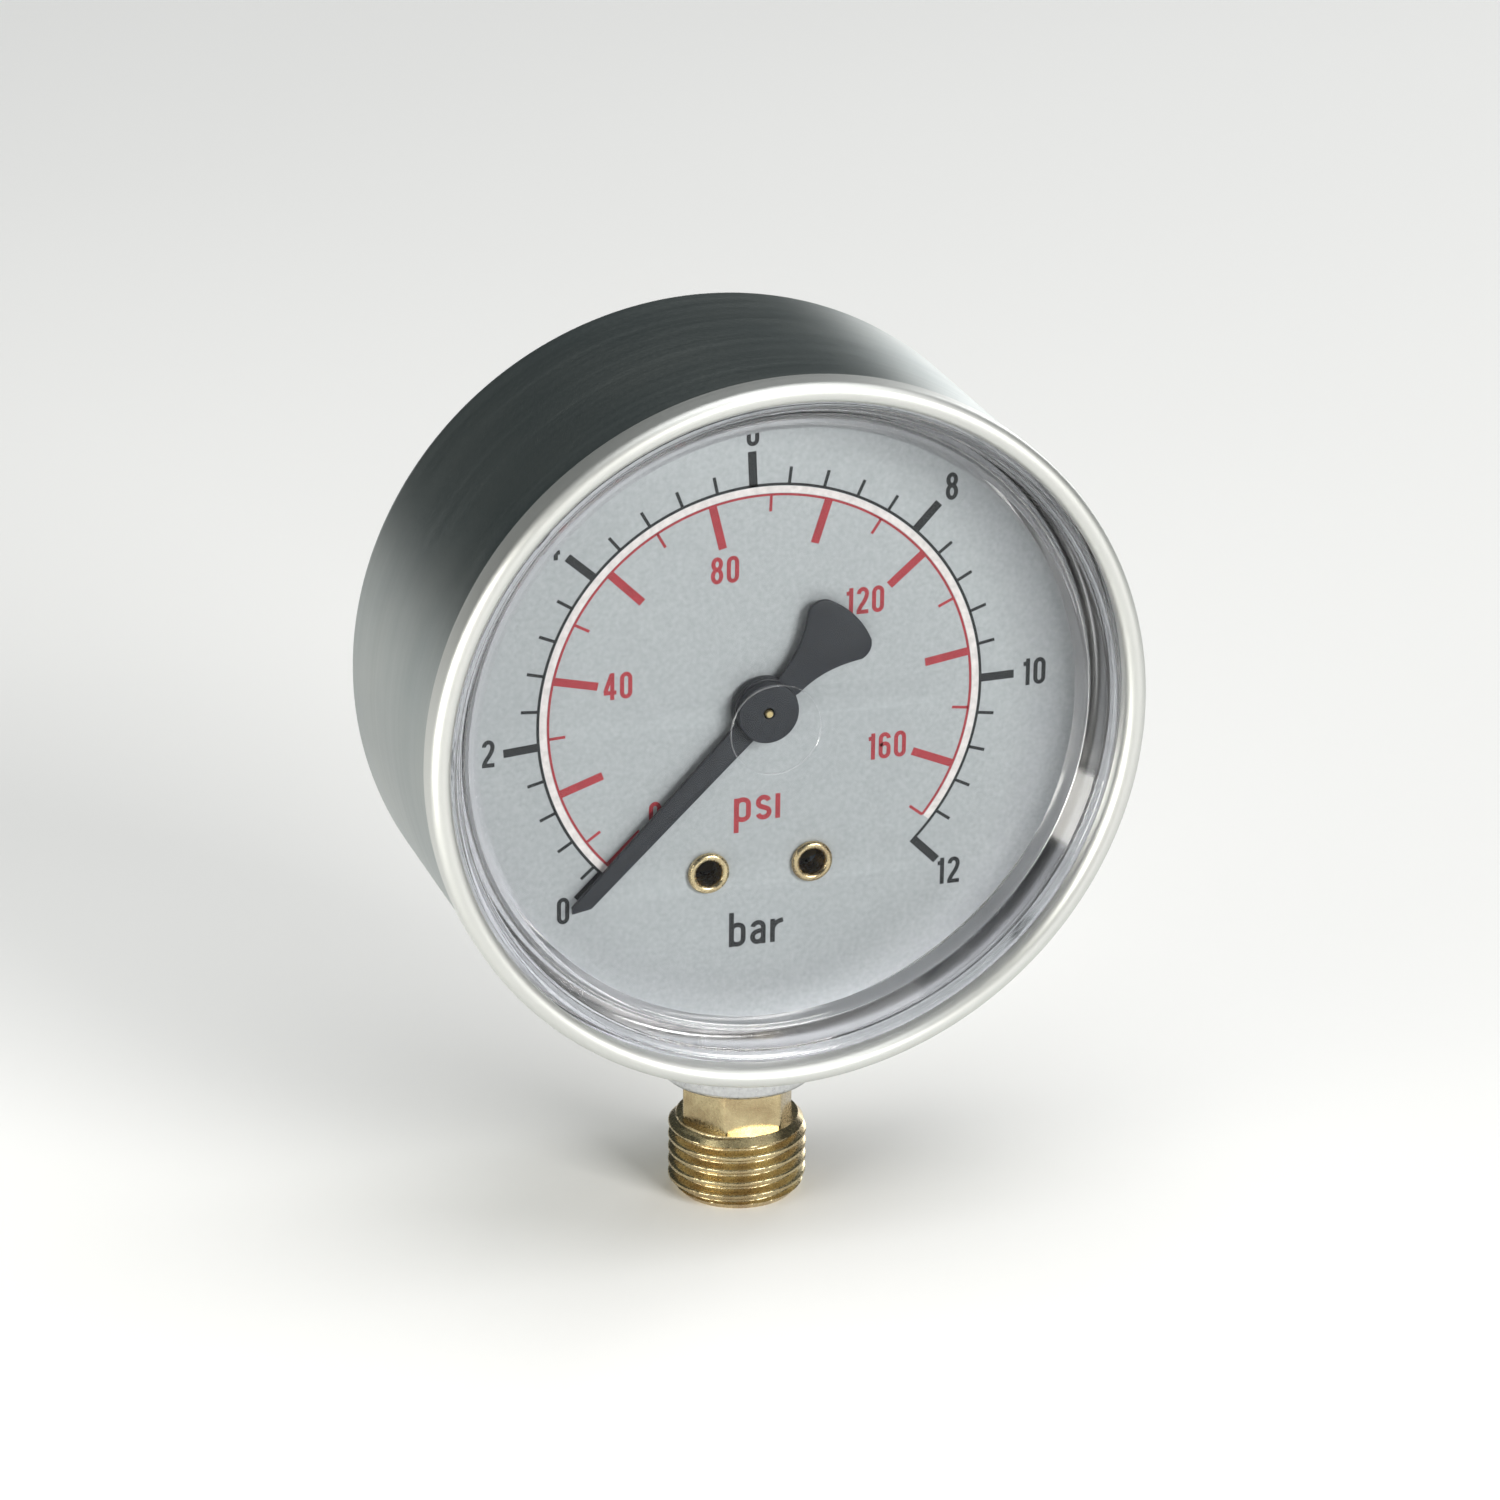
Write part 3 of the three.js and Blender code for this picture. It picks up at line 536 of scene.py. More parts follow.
def clear_pane():
    """The window's flat face: it passes light straight through and mirrors a little of the room."""
    nodes = Nodes("clear_pane")
    smears = nodes.noise(nodes.place(), 70, 3)
    through = nodes.add("BsdfTransparent", {"Color": (0.97, 0.98, 0.98, 1)}).outputs[0]
    mirror = nodes.add("BsdfGlossy", {"Roughness": nodes.span(smears, 0.03, 0.09)}).outputs[0]
    share = nodes.add("Fresnel", {"IOR": 1.2}).outputs[0]
    return nodes.finish(nodes.add("MixShader", {0: share, 1: through, 2: mirror}).outputs[0])


def clear_rim():
    """The window's sloped rim and skirt: clear plastic that bends light, but lets the lamps in."""
    nodes = Nodes("clear_rim")
    smears = nodes.noise(nodes.place(), 300, 2)
    glass = nodes.principled(
        Base_Color=(0.94, 0.94, 0.96), Roughness=nodes.span(smears, 0.07, 0.12), IOR=1.49,
        Transmission_Weight=1.0,
    )
    open_to_lamps = nodes.add("BsdfTransparent", {"Color": (0.92, 0.92, 0.93, 1)}).outputs[0]
    lamp_ray = nodes.add("LightPath").outputs["Is Shadow Ray"]
    return nodes.finish(nodes.add("MixShader", {0: lamp_ray, 1: glass, 2: open_to_lamps}).outputs[0])


def pale_floor():
    nodes = Nodes("pale_floor")
    patches = nodes.noise(nodes.place(), 3, 2)
    tone = nodes.ramp(patches, [(0.3, (0.86, 0.86, 0.85)), (0.7, (0.89, 0.89, 0.88))])
    return nodes.finish(nodes.principled(Base_Color=tone, Roughness=0.9))


STEEL = plated_steel_painted_light()
STEM_BRASS = brass("stem_brass", (0.42, 0.32, 0.18), (0.64, 0.54, 0.32), 0.26)
RIVET_BRASS = brass("rivet_brass", (0.45, 0.33, 0.19), (0.70, 0.57, 0.34), 0.25)
MOVEMENT_BRASS = brass("movement_brass", (0.55, 0.42, 0.20), (0.72, 0.58, 0.32), 0.32)
TUBE_BRONZE = brass("tube_bronze", (0.52, 0.33, 0.19), (0.68, 0.46, 0.28), 0.3)
SCREW_STEEL = bright_steel()
DIAL_FACE = dial_face()
BLACK_INK = ink("black_ink", (0.012, 0.014, 0.018))
RED_INK = ink("red_ink", (0.42, 0.035, 0.05))
WHITE_INK = ink("white_ink", (0.86, 0.80, 0.80))
POINTER_PAINT = pointer_paint()
CLEAR_PANE = clear_pane()
CLEAR_RIM = clear_rim()


# ---- case and window ------------------------------------------------------------------

CASE_RADIUS = 33.7
CASE_WALL = 0.8
CASE_DEPTH = 30
CASE_CORNER = 2
BEAD_CENTRE_RADIUS = 33.05
STEM_OPENING_RADIUS = 7.2
CASE_SCREWS = ((-5, -26), (5, -26))
CASE_SCREW_HOLE = 1.7
CASE_SIDES = 256
INNER_CORNER = CASE_CORNER - CASE_WALL
BEAD_START = 130
BEAD_SWEEP = 220
BEAD_STEPS = 24
FLANGE_ROUNDING = 0.3


def case_profile():
    """The cup's [radius, depth], from the middle of its floor round the bead and back outside."""
    inside = CASE_RADIUS - CASE_WALL
    floor = CASE_DEPTH - CASE_WALL
    points = [(0, floor)]
    points += bend(inside - INNER_CORNER, floor - INNER_CORNER, INNER_CORNER, INNER_CORNER, 90, 0, 6)
    points.append((inside, BEAD_RADIUS + 0.2))
    for step in range(BEAD_STEPS + 1):
        angle = math.radians(BEAD_START - step / BEAD_STEPS * BEAD_SWEEP)
        radius = BEAD_CENTRE_RADIUS - BEAD_RADIUS * math.sin(angle)
        points.append((radius, -BEAD_RADIUS * math.cos(angle)))
    edge = BEAD_CENTRE_RADIUS + BEAD_RADIUS
    flange = (edge, BEAD_END - FLANGE_ROUNDING)
    points += [flange, *curved(flange, (edge, BEAD_END), (CASE_RADIUS, BEAD_END), 4)]
    corner = (CASE_RADIUS - CASE_CORNER, CASE_DEPTH - CASE_CORNER)
    points += bend(*corner, CASE_CORNER, CASE_CORNER, 0, 90, 10)
    points.append((0, CASE_DEPTH))
    return points


def build_case():
    case = turned("case", case_profile(), [STEEL], sides=CASE_SIDES)
    cutters = [upright("stem_hole", rod(STEM_OPENING_RADIUS, 10, 24), [], 64)]
    for centre in CASE_SCREWS:
        outline = rod(CASE_SCREW_HOLE, CASE_DEPTH - 3, CASE_DEPTH + 2)
        cutters.append(turned("screw_hole", outline, [], centre, 32))
    shape(case, cutters, "DIFFERENCE")
    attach(case, "case")
    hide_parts("case_shell")


WINDOW_FACE = 3.7
WINDOW_FACE_RADIUS = 28.5
WINDOW_WALL = 1.2
WINDOW_BACK = WINDOW_FACE + WINDOW_WALL
WINDOW_SIDES = 256
GATE_RING_RADIUS = 4.3
GATE_RING_CENTRE = (-0.5, -0.2)
GATE_RING_RISE = 0.06
GATE_RING_BASE = 0.01

# [radius, depth] from the face's edge up the moulded steps, over the lip and round the skirt.
WINDOW_RIM = (
    (WINDOW_FACE_RADIUS, WINDOW_FACE), (29.2, 3.1), (29.55, 3.05), (30.8, 1.35), (31.05, 1.3),
    (31.3, 0.4), (31.75, 0.3), (31.75, 1.55), (32.55, 2.15), (32.55, 9.1), (31.45, 9.1),
    (31.45, 5.5), (30.85, WINDOW_BACK), (29.2, WINDOW_BACK),
)


def build_window():
    profile = [(0, WINDOW_FACE), *rounded(WINDOW_RIM, 0.16, 3), (0, WINDOW_BACK)]
    window = turned("window", profile, [CLEAR_PANE, CLEAR_RIM], sides=WINDOW_SIDES)
    centre = head(0, 0, 0)
    for polygon in window.data.polygons:
        middle = polygon.center - centre
        flat_radius = math.hypot(middle.x, middle.z) / MM
        polygon.material_index = 0 if flat_radius < WINDOW_FACE_RADIUS - 0.05 else 1
    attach(window, "case")
    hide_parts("window")


def build_gate_ring():
    """The faint raised ring on the window's face, taken for the mark of the mould's gate."""
    low, high = GATE_RING_RADIUS - GATE_RING_RISE, GATE_RING_RADIUS + GATE_RING_RISE
    top, base = WINDOW_FACE - GATE_RING_RISE, WINDOW_FACE - GATE_RING_BASE
    section = rounded([(low, top), (high, top), (high, base), (low, base)], 0.02, 2, True)
    ring = turned("window_gate_ring", section, [CLEAR_RIM], GATE_RING_CENTRE, closed=True)
    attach(ring, "case")


# ---- dial and print -------------------------------------------------------------------

DIAL_BACK = 9.9
DIAL_RADIUS = 32.4
DIAL_ROUNDING = 0.06
ARBOR_HOLE = 1.2
RIVET_HOLE = 1.65
RIVETS = ((-5.03, -16), (5.03, -16))


def build_dial():
    loops = [circle(0, 0, DIAL_RADIUS, 240), circle(0, 0, ARBOR_HOLE)]
    loops += [circle(x, z, RIVET_HOLE) for x, z in RIVETS]
    dial = flat_piece("dial", loops, DIAL_FRONT, DIAL_BACK, DIAL_ROUNDING, [DIAL_FACE])
    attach(dial, "case")
    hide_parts("dial_plate")


class Printing:
    """Thin raised ribbons of one ink on the dial."""

    THICKNESS = 0.02
    LAYER = 0.0015
    SUNK = 0.01
    ARC_STEPS = 180

    def __init__(self):
        self.vertices = []
        self.faces = []
        self.count = 0

    def ribbon(self, path, width, closed=False):
        """A ribbon of even width along a path of (x, z) points.

        Each lies at another level than the three before it, so that strokes drawn one after
        another don't share a plane where they cross.
        """
        front = DIAL_FRONT - self.THICKNESS - self.LAYER * (self.count % 4)
        back = DIAL_FRONT + self.SUNK
        self.count += 1
        points = [Vector(p) for p in path]
        start = len(self.vertices)
        for i, here in enumerate(points):
            if closed:
                before, after = points[i - 1], points[(i + 1) % len(points)]
            else:
                before, after = points[max(i - 1, 0)], points[min(i + 1, len(points) - 1)]
            along = (after - before).normalized()
            side = Vector((-along.y, along.x)) * width / 2
            for offset, depth in ((side, front), (-side, front), (-side, back), (side, back)):
                self.vertices.append(head(here.x + offset.x, here.y + offset.y, depth))
        count = len(points)
        for i in range(count if closed else count - 1):
            low = start + 4 * i
            high = start + 4 * ((i + 1) % count)
            for corner in range(4):
                after = (corner + 1) % 4
                self.faces.append([low + corner, low + after, high + after, high + corner])
        if not closed:
            last = start + 4 * (count - 1)
            self.faces.append([start + corner for corner in range(4)])
            self.faces.append([last + corner for corner in range(4)])

    def tick(self, degrees, inner, outer, width):
        self.ribbon([polar(inner, degrees), polar(outer, degrees)], width)

    def arc(self, radius, start, end, width):
        steps = self.ARC_STEPS
        path = [polar(radius, start + (end - start) * step / steps) for step in range(steps + 1)]
        self.ribbon(path, width)

    def text(self, characters, x, z, height, stroke):
        """Characters centred on a point. stroke is a share of the height."""
        widths = [GLYPHS[c][0] for c in characters]
        total = sum(widths) + GLYPH_GAP * (len(characters) - 1)
        left = -total / 2
        for character, width in zip(characters, widths):
            for closed, path in GLYPHS[character][1]:
                moved = [(x + height * (left + px), z + height * (py - 0.5)) for px, py in path]
                self.ribbon(moved, stroke * height, closed)
            left += width + GLYPH_GAP

    def build(self, name, material):
        piece = make_object(name, self.vertices, self.faces, [material], smooth=False)
        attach(piece, "case")


# Characters as pen strokes in a box one unit high, as (closed, path) pairs with their width.
GLYPH_GAP = 0.13
LETTER_TOP = 0.68


def digit_zero():
    return [(True, bend(0.225, 0.75, 0.15, 0.175, 180, 0) + bend(0.225, 0.25, 0.15, 0.175, 0, -180))]


def digit_one():
    return [
        (False, [(0.19, 0.0), (0.19, 1.0)]),
        (False, [(0.19, 0.86), *curved((0.19, 0.86), (0.12, 0.80), (0.02, 0.80), 4)]),
    ]


def digit_two():
    hook = bend(0.225, 0.75, 0.15, 0.175, 180, 0)
    hook += curved((0.375, 0.75), (0.375, 0.60), (0.24, 0.40))
    hook += curved((0.24, 0.40), (0.09, 0.2), (0.08, 0.1))
    return [(False, hook), (False, [(0.0, 0.072), (0.44, 0.072)])]


def digit_four():
    return [
        (False, [(0.31, 0.0), (0.31, 1.0)]),
        (False, [(0.29, 0.97), (0.05, 0.30)]),
        (False, [(0.0, 0.27), (0.46, 0.27)]),
    ]


def digit_six():
    outside = bend(0.225, 0.76, 0.15, 0.165, 0, 180) + bend(0.225, 0.235, 0.15, 0.162, 180, 360)
    bowl = bend(0.225, 0.42, 0.15, 0.15, 0, 160)
    return [(False, outside + bowl)]


def digit_eight():
    return [
        (True, bend(0.225, 0.735, 0.138, 0.19, 90, 430, 24)),
        (True, bend(0.225, 0.298, 0.152, 0.225, 90, 430, 24)),
    ]


def letter_bowl():
    return bend(0.235, 0.49, 0.165, 0.14, 180, 0) + bend(0.235, 0.20, 0.165, 0.14, 0, -180)


def letter_a():
    hook = bend(0.22, 0.49, 0.15, 0.14, 170, 0) + [(0.37, 0.0)]
    bowl = [(0.37, 0.37), *curved((0.37, 0.37), (0.3, 0.4), (0.2, 0.37))]
    bowl += bend(0.2, 0.215, 0.13, 0.15, 90, 270) + curved((0.2, 0.065), (0.34, 0.07), (0.37, 0.2))
    return [(False, hook), (False, bowl)]


def letter_s():
    line = bend(0.22, 0.495, 0.148, 0.14, 15, 225, 16) + bend(0.22, 0.205, 0.155, 0.14, 45, -165, 16)
    return [(False, line)]


GLYPHS = {
    "0": (0.45, digit_zero()),
    "1": (0.27, digit_one()),
    "2": (0.44, digit_two()),
    "4": (0.46, digit_four()),
    "6": (0.45, digit_six()),
    "8": (0.45, digit_eight()),
    "b": (0.47, [(False, [(0.065, 0.0), (0.065, 1.0)]), (True, letter_bowl())]),
    "p": (0.47, [(False, [(0.065, LETTER_TOP), (0.065, -0.3)]), (True, letter_bowl())]),
    "a": (0.44, letter_a()),
    "r": (0.36, [
        (False, [(0.065, 0.0), (0.065, LETTER_TOP)]),
        (False, [(0.065, 0.38), *curved((0.065, 0.38), (0.1, 0.6), (0.36, 0.63))]),
    ]),
    "s": (0.42, letter_s()),
    "i": (0.13, [(False, [(0.065, 0.0), (0.065, LETTER_TOP + 0.02)])]),
}

BAR_END = 12
BAR_DEGREES = 22.96
SCALE_END = -45
SCALE_STOP = 224.2
FIRST_MARK = 0.4
PSI_PER_BAR = 14.5038
BAR_ARC = 21.34
BAR_MARKS = 31
BAR_ARC_WIDTH = 0.26
BAR_MAJOR_END = 24.65
BAR_MAJOR_WIDTH = 0.8
BAR_MINOR_END = 22.99
BAR_MINOR_WIDTH = 0.3
BAR_DIGITS = 2.65
BAR_LETTERS = 3.45
PSI_ARC = 20.36
PSI_ARC_WIDTH = 0.22
PSI_LAST = 170
PSI_MAJOR_LENGTH = 4.3
PSI_MAJOR_WIDTH = 0.78
PSI_MINOR_LENGTH = 1.6
PSI_MINOR_WIDTH = 0.27
PSI_DIGITS = 2.6
PSI_LETTERS = 3.5
BAND_WIDTH = 0.66
DIGIT_STROKE = 0.15
LETTER_STROKE = 0.135


def bearing(bar):
    """Where a pressure lies on the dial. Below the first mark the scale closes up to its stop."""
    if bar >= FIRST_MARK:
        return SCALE_END + BAR_DEGREES * (BAR_END - bar)
    first = bearing(FIRST_MARK)
    return SCALE_STOP + (first - SCALE_STOP) * bar / FIRST_MARK


def print_bar_scale():
    black = Printing()
    black.arc(BAR_ARC, SCALE_STOP, SCALE_END, BAR_ARC_WIDTH)
    for mark in range(BAR_MARKS):
        degrees = bearing(mark * FIRST_MARK)
        if mark % 5 == 0:
            black.tick(degrees, BAR_ARC - 0.1, BAR_MAJOR_END, BAR_MAJOR_WIDTH)
        else:
            black.tick(degrees, BAR_ARC, BAR_MINOR_END, BAR_MINOR_WIDTH)
    labels = {
        "0": (-18.97, -18.15), "2": (-26.0, -1.81), "4": polar(26.4, 138.6), "6": (-1.12, 26.47),
        "8": (18.08, 19.45), "10": (26.68, 0.42), "12": (18.65, -18.69),
    }
    for characters, (x, z) in labels.items():
        black.text(characters, x, z, BAR_DIGITS, DIGIT_STROKE)
    black.text("bar", -0.27, -22.12, BAR_LETTERS, LETTER_STROKE)
    black.build("dial_print_black", BLACK_INK)


def print_psi_scale():
    red = Printing()
    red.arc(PSI_ARC, SCALE_STOP, bearing(PSI_LAST / PSI_PER_BAR), PSI_ARC_WIDTH)
    for psi in range(0, PSI_LAST + 1, 10):
        degrees = bearing(psi / PSI_PER_BAR)
        if psi % 20 == 0:
            red.tick(degrees, PSI_ARC - PSI_MAJOR_LENGTH, PSI_ARC, PSI_MAJOR_WIDTH)
        else:
            red.tick(degrees, PSI_ARC - PSI_MINOR_LENGTH, PSI_ARC, PSI_MINOR_WIDTH)
    labels = {
        "0": (-10.17, -9.66), "40": (-13.74, 3.42), "80": (-3.64, 13.55), "120": (9.87, 9.23),
        "160": (12.3, -5.33),
    }
    for characters, (x, z) in labels.items():
        red.text(characters, x, z, PSI_DIGITS, DIGIT_STROKE)
    red.text("psi", -0.31, -9.6, PSI_LETTERS, LETTER_STROKE)
    red.build("dial_print_red", RED_INK)


def print_band():
    """The white band between the two arcs."""
    white = Printing()
    white.arc((BAR_ARC + PSI_ARC) / 2, SCALE_STOP, bearing(PSI_LAST / PSI_PER_BAR), BAND_WIDTH)
    white.build("dial_print_white", WHITE_INK)


# ---- rivets and pointer ---------------------------------------------------------------


RIVET_TOP = DIAL_FRONT - 0.05
RIVET_SHANK = 1.55
RIVET_BORE = 1.24
RIVET_FOOT = 2.0
RIVET_FOOT_FRONT = 11.05
RIVET_FOOT_BACK = 11.45


def build_rivets():
    """Hollow rivets: a rolled rim in front, a shank through the dial and a foot behind it."""
    profile = [
        *bend(1.62, RIVET_TOP - 0.18, 0.38, 0.36, 190, 360, 14), (1.95, RIVET_TOP),
        (RIVET_SHANK, RIVET_TOP), (RIVET_SHANK, RIVET_FOOT_FRONT), (RIVET_FOOT, RIVET_FOOT_FRONT),
        (RIVET_FOOT, RIVET_FOOT_BACK), (RIVET_BORE, RIVET_FOOT_BACK),
    ]
    for side, centre in zip(("left", "right"), RIVETS):
        rivet = turned(f"rivet_{side}", profile, [RIVET_BRASS], centre, 64, closed=True)
        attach(rivet, "case")
        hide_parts(f"dial_rivet_{side}")


POINTER_REST = 225
POINTER_FRONT = 8
POINTER_BACK = 8.45
POINTER_LENGTH = 25.8
POINTER_HALF_WIDTH = 1.2
HUB_HOLE = 1.7
PAD_RADIUS = 3.1
PAD_FRONT = POINTER_BACK - 0.05
HUB_BACK = 9.05


def pointer_outline():
    """The blade points along +X and its flared tail lies on the other side of the axis."""
    join = math.degrees(math.asin(POINTER_HALF_WIDTH / PAD_RADIUS))
    disc = bend(0, 0, PAD_RADIUS, PAD_RADIUS, join, 180 - join, 16)
    flare = cubic((0, 1.25), (-4, 1.25), (-6, 1.2), (-9.4, 3.7), 20)
    flare = [point for point in flare if point[0] < disc[-1][0] - 0.1]
    corner = curved((-9.4, 3.7), (-10.6, 4), (-11.3, 3), 6)
    upper = disc + flare + corner
    end = curved((-11.3, 3), (-12.5, 0), (-11.3, -3), 12)
    lower = [(x, -y) for x, y in reversed(upper)]
    tip = [(POINTER_LENGTH - 0.4, -0.75), (POINTER_LENGTH, -0.3), (POINTER_LENGTH - 1.5, 0.75)]
    return upper + end + lower[1:] + tip


def turn_outline(points, degrees):
    turn = Matrix.Rotation(math.radians(degrees), 2)
    return [tuple(turn @ Vector(p)) for p in points]


def build_pointer():
    outline = turn_outline(pointer_outline(), POINTER_REST)
    loops = [outline, circle(0, 0, HUB_HOLE)]
    blade = flat_piece("pointer_blade", loops, POINTER_FRONT, POINTER_BACK, 0.1, [POINTER_PAINT])
    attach(blade, "pointer")
    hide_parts("pointer")
    section = [(HUB_HOLE, PAD_FRONT), (PAD_RADIUS, PAD_FRONT), (PAD_RADIUS, HUB_BACK), (HUB_HOLE, HUB_BACK)]
    section = rounded(section, 0.15, 3, True)
    pad = turned("pointer_pad", section, [POINTER_PAINT], sides=96, closed=True)
    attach(pad, "pointer")
    section = [(0.5, 7.1), (2.9, 7.1), (2.9, 7.95), (1.6, 7.95), (1.6, HUB_BACK), (0.5, HUB_BACK)]
    section = rounded(section, 0.18, 3, True)
    cap = turned("pointer_cap", section, [POINTER_PAINT], sides=96, closed=True)
    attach(cap, "pointer")
    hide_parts("pointer_hub")


# ---- stem -----------------------------------------------------------------------------

THREAD_RADIUS = 6.579
THREAD_ROOT = 5.8
THREAD_PITCH = 1.337
THREAD_TOP = 7.6
THREAD_SIDES = 144
THREAD_STEP = 0.05
CHAMFER_START = 5.55
CHAMFER_SLOPE = 0.9
NECK_FLATS = 9.5
NECK_TOP = 12.05
SHANK_RADIUS = 5.1
BLOCK_BOTTOM = 20.1
BLOCK_HALF_WIDTH = 8
COLLAR_BOTTOM = 12.1
COLLAR_INNER = 5.9
COLLAR_OUTER = 7.5
PORT_RADIUS = 3
PORT_DEPTH = 11


def thread_radius(height, turns):
    """The thread's surface: a rounded ridge that climbs one pitch a turn, chamfered at both ends."""
    phase = (height / THREAD_PITCH - turns) % 1
    ridge = min(1, max(0, 1.35 * (1 - abs(2 * phase - 1)) - 0.15))
    ridge = ridge * ridge * (3 - 2 * ridge)
    radius = THREAD_ROOT + (THREAD_RADIUS - THREAD_ROOT) * ridge
    lead_in = CHAMFER_START + CHAMFER_SLOPE * height
    run_out = THREAD_ROOT + CHAMFER_SLOPE * (THREAD_TOP - height)
    return min(radius, lead_in, run_out)


def build_thread():
    rows = round(THREAD_TOP / THREAD_STEP)
    vertices = [standing(0, 0, 0)]
    for row in range(rows + 1):
        height = THREAD_TOP * row / rows
        for side in range(THREAD_SIDES):
            turns = side / THREAD_SIDES
            x, y = polar(thread_radius(height, turns), 360 * turns)
            vertices.append(standing(x, y, height))
    faces = []
    for side in range(THREAD_SIDES):
        after = (side + 1) % THREAD_SIDES
        faces.append([0, 1 + after, 1 + side])
        for row in range(rows):
            low = 1 + row * THREAD_SIDES
            high = low + THREAD_SIDES
            faces.append([low + side, low + after, high + after, high + side])
    top = 1 + rows * THREAD_SIDES
    faces.append([top + side for side in range(THREAD_SIDES)])
    return make_object("stem", vertices, faces, [STEM_BRASS])


def block(name, half_width, depths, heights):
    """A square block across the stem's axis, between two depths and two heights."""
    low, high = (BEAD_Y + depth for depth in depths)
    outline = [(-half_width, low), (half_width, low), (half_width, high), (-half_width, high)]
    return prism(name, outline, *heights, standing, [STEM_BRASS])


def build_stem():
    stem = build_thread()
    corner = NECK_FLATS / math.sqrt(3)
    hexagon = [polar(corner, 60 * i) for i in range(6)]
    neck = prism("neck", hexagon, THREAD_TOP - 0.5, NECK_TOP, standing, [STEM_BRASS])
    neck = bevelled(neck, 0.25)
    shank = upright("shank", rod(SHANK_RADIUS, NECK_TOP - 1, BLOCK_BOTTOM + 1), [STEM_BRASS], 96)
    lower = bevelled(block("lower", BLOCK_HALF_WIDTH, (10.6, 28.9), (BLOCK_BOTTOM, 31.3)), 0.3)
    shelf = block("shelf", BLOCK_HALF_WIDTH, (18.3, 23.6), (31, 38.3))
    shape(stem, [neck, shank, lower, shelf], "UNION")
    mouth = PORT_RADIUS + 0.9
    port = [
        (0, -1), (mouth, -1), (mouth, 0), (PORT_RADIUS, 0.6), (PORT_RADIUS, PORT_DEPTH),
        (0, PORT_DEPTH + 1.5),
    ]
    slot = tube_solid("slot", 8.4, 2.8, 240, 258, 24)
    shape(stem, [upright("port", port, [], 64), slot], "DIFFERENCE")
    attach(stem, "case")
    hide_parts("stem")


def build_collar():
    top = AXIS_Z - CASE_RADIUS + 2
    ring = [
        (COLLAR_INNER, COLLAR_BOTTOM), (COLLAR_OUTER - 0.4, COLLAR_BOTTOM),
        (COLLAR_OUTER, COLLAR_BOTTOM + 0.4), (COLLAR_OUTER, top), (COLLAR_INNER, top),
    ]
    collar = upright("collar", rounded(ring, 0.2, 4, True), [SCREW_STEEL], 96, closed=True)
    wall = turned("wall", rod(CASE_RADIUS + 0.1, -5, 35), [], sides=CASE_SIDES)
    shape(collar, [wall], "DIFFERENCE")
    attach(collar, "case")
    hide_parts("stem_collar")


SCREW_UNDER = CASE_DEPTH + 0.05
SCREW_HEAD_RADIUS = 2.7
SCREW_RADIUS = 1.5
SCREW_LENGTH = 6
SLOT_HALF_WIDTH = 0.35


def build_case_screws():
    profile = rounded([
        (0, SCREW_UNDER + 1.6), (SCREW_HEAD_RADIUS, SCREW_UNDER + 1.4),
        (SCREW_HEAD_RADIUS, SCREW_UNDER), (SCREW_RADIUS, SCREW_UNDER),
        (SCREW_RADIUS, SCREW_UNDER - SCREW_LENGTH), (0, SCREW_UNDER - SCREW_LENGTH),
    ], 0.35, 4)
    for side, (x, z) in zip(("left", "right"), CASE_SCREWS):
        screw = turned(f"case_screw_{side}_head", profile, [SCREW_STEEL], (x, z), 64)
        low = head(x - 4, z - SLOT_HALF_WIDTH, SCREW_UNDER + 0.8)
        high = head(x + 4, z + SLOT_HALF_WIDTH, SCREW_UNDER + 3)
        left, front, bottom = (part / MM for part in low)
        right, back, top = (part / MM for part in high)
        outline = [(left, front), (right, front), (right, back), (left, back)]
        slot = prism("slot", outline, bottom, top, standing, [])
        shape(screw, [slot], "DIFFERENCE")
        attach(screw, "case")
        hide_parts(f"case_screw_{side}")


# ---- movement -------------------------------------------------------------------------

TUBE_RADIUS = 23
TUBE_MIDDLE = 19.6
TUBE_ROOT = 257
TUBE_END = -14


def tube_section(width, thickness):
    half = thickness / 2
    flat = width / 2 - half
    return bend(flat, 0, half, half, -90, 90, 10) + bend(-flat, 0, half, half, 90, 270, 10)


def tube_solid(name, width, thickness, start, end, steps):
    """A flat tube's outside, swept round the dial's axis between two bearings."""
    section = tube_section(width, thickness)
    count = len(section)
    vertices, faces = [], []
    for step in range(steps + 1):
        degrees = start + (end - start) * step / steps
        for along, across in section:
            x, z = polar(TUBE_RADIUS + across, degrees)
            vertices.append(head(x, z, TUBE_MIDDLE + along))
    for step in range(steps):
        for i in range(count):
            low, after = step * count + i, step * count + (i + 1) % count
            faces.append([low, after, after + count, low + count])
    faces.append(list(range(count)))
    faces.append(list(range(steps * count, (steps + 1) * count)))
    return make_object(name, vertices, faces, [TUBE_BRONZE])


def build_tube():
    tube = tube_solid("tube", 8, 2.4, TUBE_ROOT, TUBE_END, 120)
    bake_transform(tube)
    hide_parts("bourdon_tube")


SPRING_TURNS = 4
SPRING_START = 1.55
SPRING_END = 5.6
SPRING_THICKNESS = 0.2
SPRING_FRONT = 11.9
SPRING_BACK = 12.4


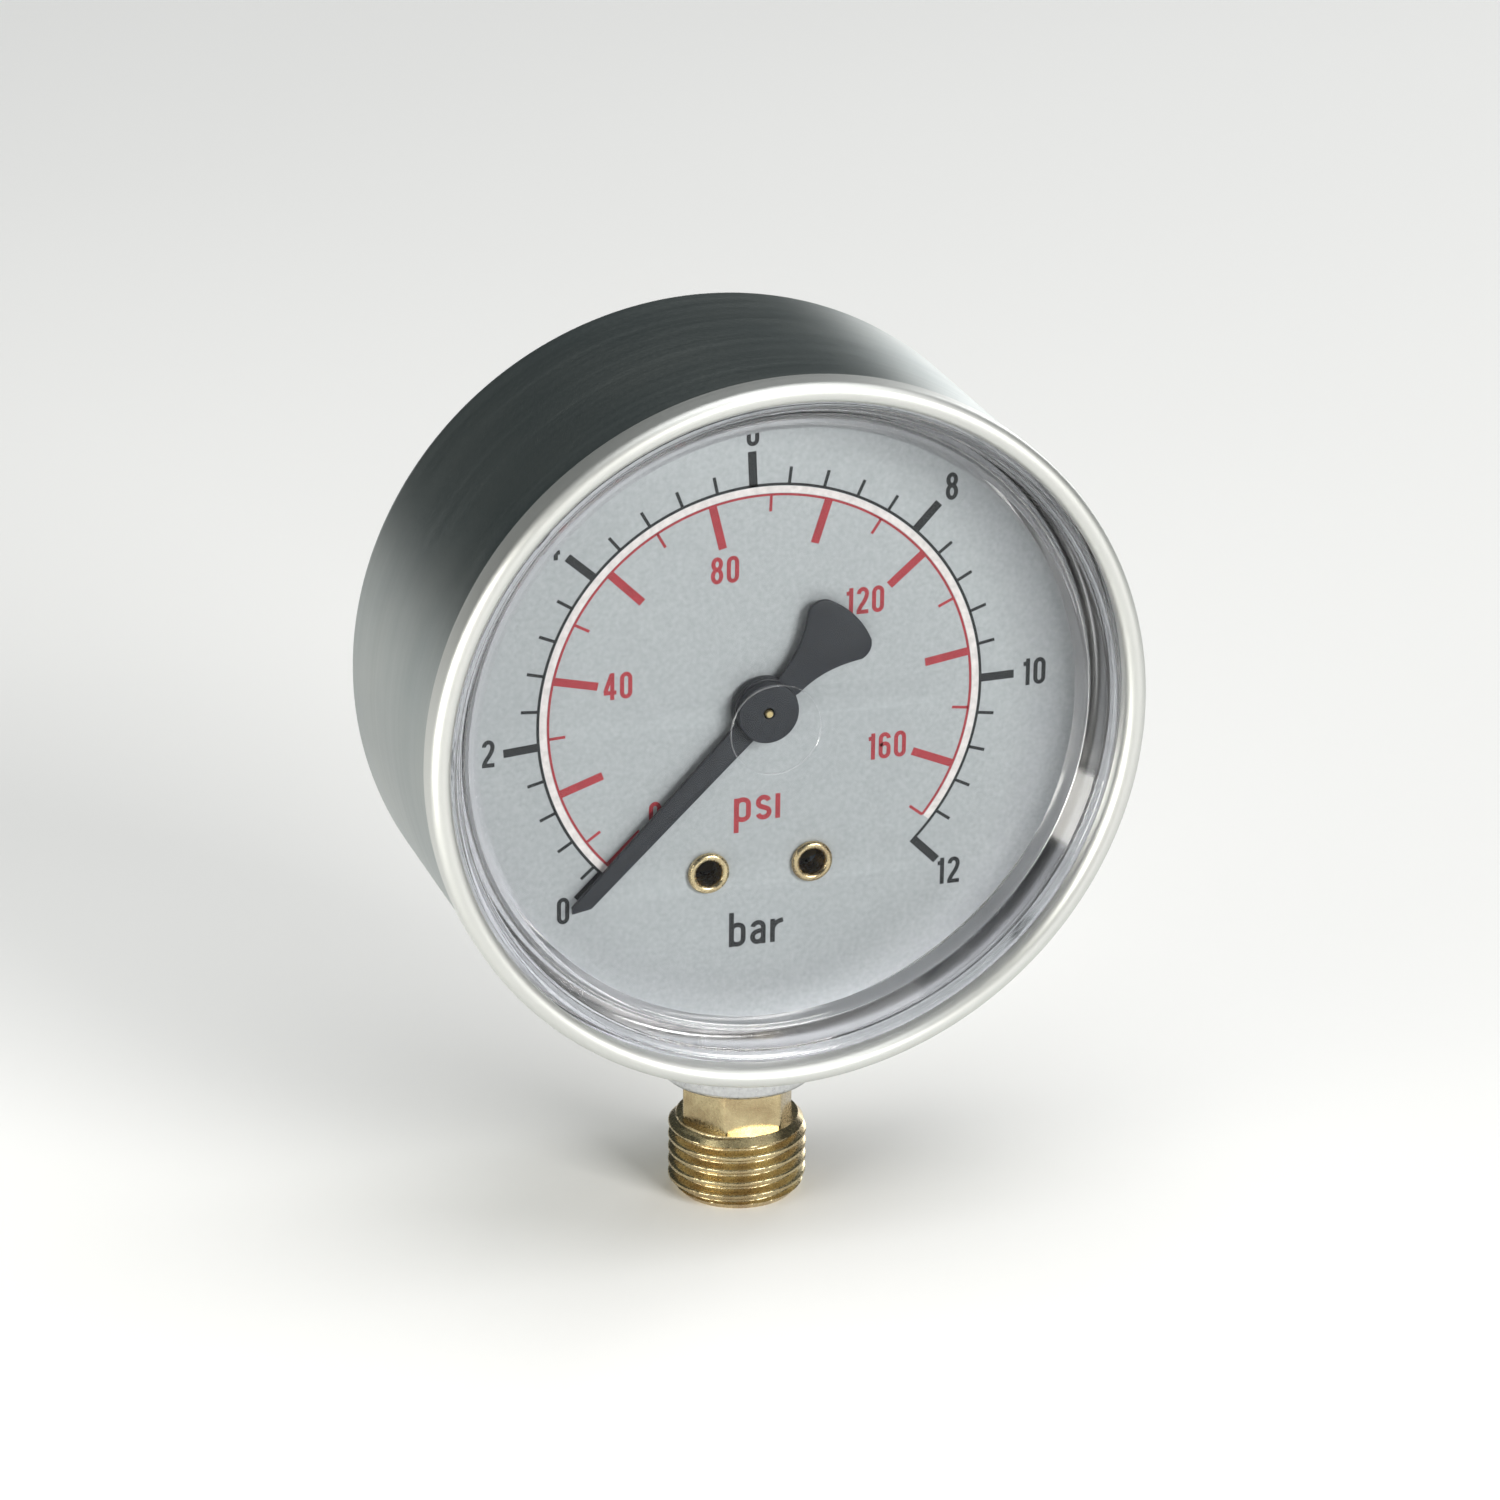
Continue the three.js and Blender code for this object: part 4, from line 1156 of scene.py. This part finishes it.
def build_hairspring():
    steps = SPRING_TURNS * 60
    vertices, faces = [], []
    for step in range(steps + 1):
        radius = SPRING_START + (SPRING_END - SPRING_START) * step / steps
        degrees = 360 * SPRING_TURNS * step / steps
        inside = polar(radius - SPRING_THICKNESS / 2, degrees)
        outside = polar(radius + SPRING_THICKNESS / 2, degrees)
        vertices += [head(*inside, SPRING_FRONT), head(*outside, SPRING_FRONT)]
        vertices += [head(*outside, SPRING_BACK), head(*inside, SPRING_BACK)]
    for step in range(steps):
        for corner in range(4):
            after = (corner + 1) % 4
            low = 4 * step
            faces.append([low + corner, low + after, low + 4 + after, low + 4 + corner])
    faces.append([0, 1, 2, 3])
    faces.append([4 * steps + corner for corner in range(4)])
    spring = make_object("spiral_spring", vertices, faces, [TUBE_BRONZE])
    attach(spring, "case")
    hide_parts("hairspring")


def dress_cad_nodes():
    """Steel or brass for the CAD nodes, which show where no smooth piece replaces them."""
    steel_words = ("screw", "sector_arbor", "link_pin")
    for name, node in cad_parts.items():
        material = SCREW_STEEL if any(word in name for word in steel_words) else MOVEMENT_BRASS
        node.data.materials.clear()
        node.data.materials.append(material)


# ---- stage ----------------------------------------------------------------------------


FLOOR_HALF_M = 4
SKY_COLOR = (0.75, 0.88, 0.90, 1)
SKY_STRENGTH = 0.08

# Each lamp's name, place, aim, size, power and colour.
LAMPS = (
    ("overhead", (200, -100, 1300), (0, 0, 0), (1400, 1400), 14, (1, 1, 1)),
    ("key", (500, -1050, 560), (0, 0, 50), (600, 450), 13, (1.0, 0.98, 0.95)),
    ("stem_fill", (-420, -160, 90), (0, 0, 8), (320, 140), 1.8, (1.0, 0.98, 0.92)),
    ("right_back", (850, 950, 220), (0, 0, 60), (450, 500), 3.5, (1, 1, 1)),
)


def add_area(name, place, aim, size, power, color):
    data = bpy.data.lights.new(name, "AREA")
    data.shape = "RECTANGLE"
    data.size, data.size_y = (side * MM for side in size)
    data.energy = power
    data.color = color
    lamp = add_object(name, data)
    lamp.location = Vector(place) * MM
    lamp.rotation_euler = (Vector(place) - Vector(aim)).to_track_quat("Z", "Y").to_euler()


def add_stage():
    half = FLOOR_HALF_M
    corners = [(-half, -half, 0), (half, -half, 0), (half, half, 0), (-half, half, 0)]
    floor = make_object("floor", corners, [[0, 1, 2, 3]], [pale_floor()], smooth=False)
    for lamp in LAMPS:
        add_area(*lamp)
    world = bpy.data.worlds.new("world")
    world.use_nodes = True
    background = world.node_tree.nodes["Background"]
    background.inputs["Color"].default_value = SKY_COLOR
    background.inputs["Strength"].default_value = SKY_STRENGTH
    bpy.context.scene.world = world
    bpy.context.scene.view_settings.view_transform = "Standard"


add_camera()
add_stage()
build_case()
build_window()
build_gate_ring()
build_dial()
print_bar_scale()
print_psi_scale()
print_band()
build_rivets()
build_pointer()
build_stem()
build_collar()
build_case_screws()
build_tube()
build_hairspring()
dress_cad_nodes()
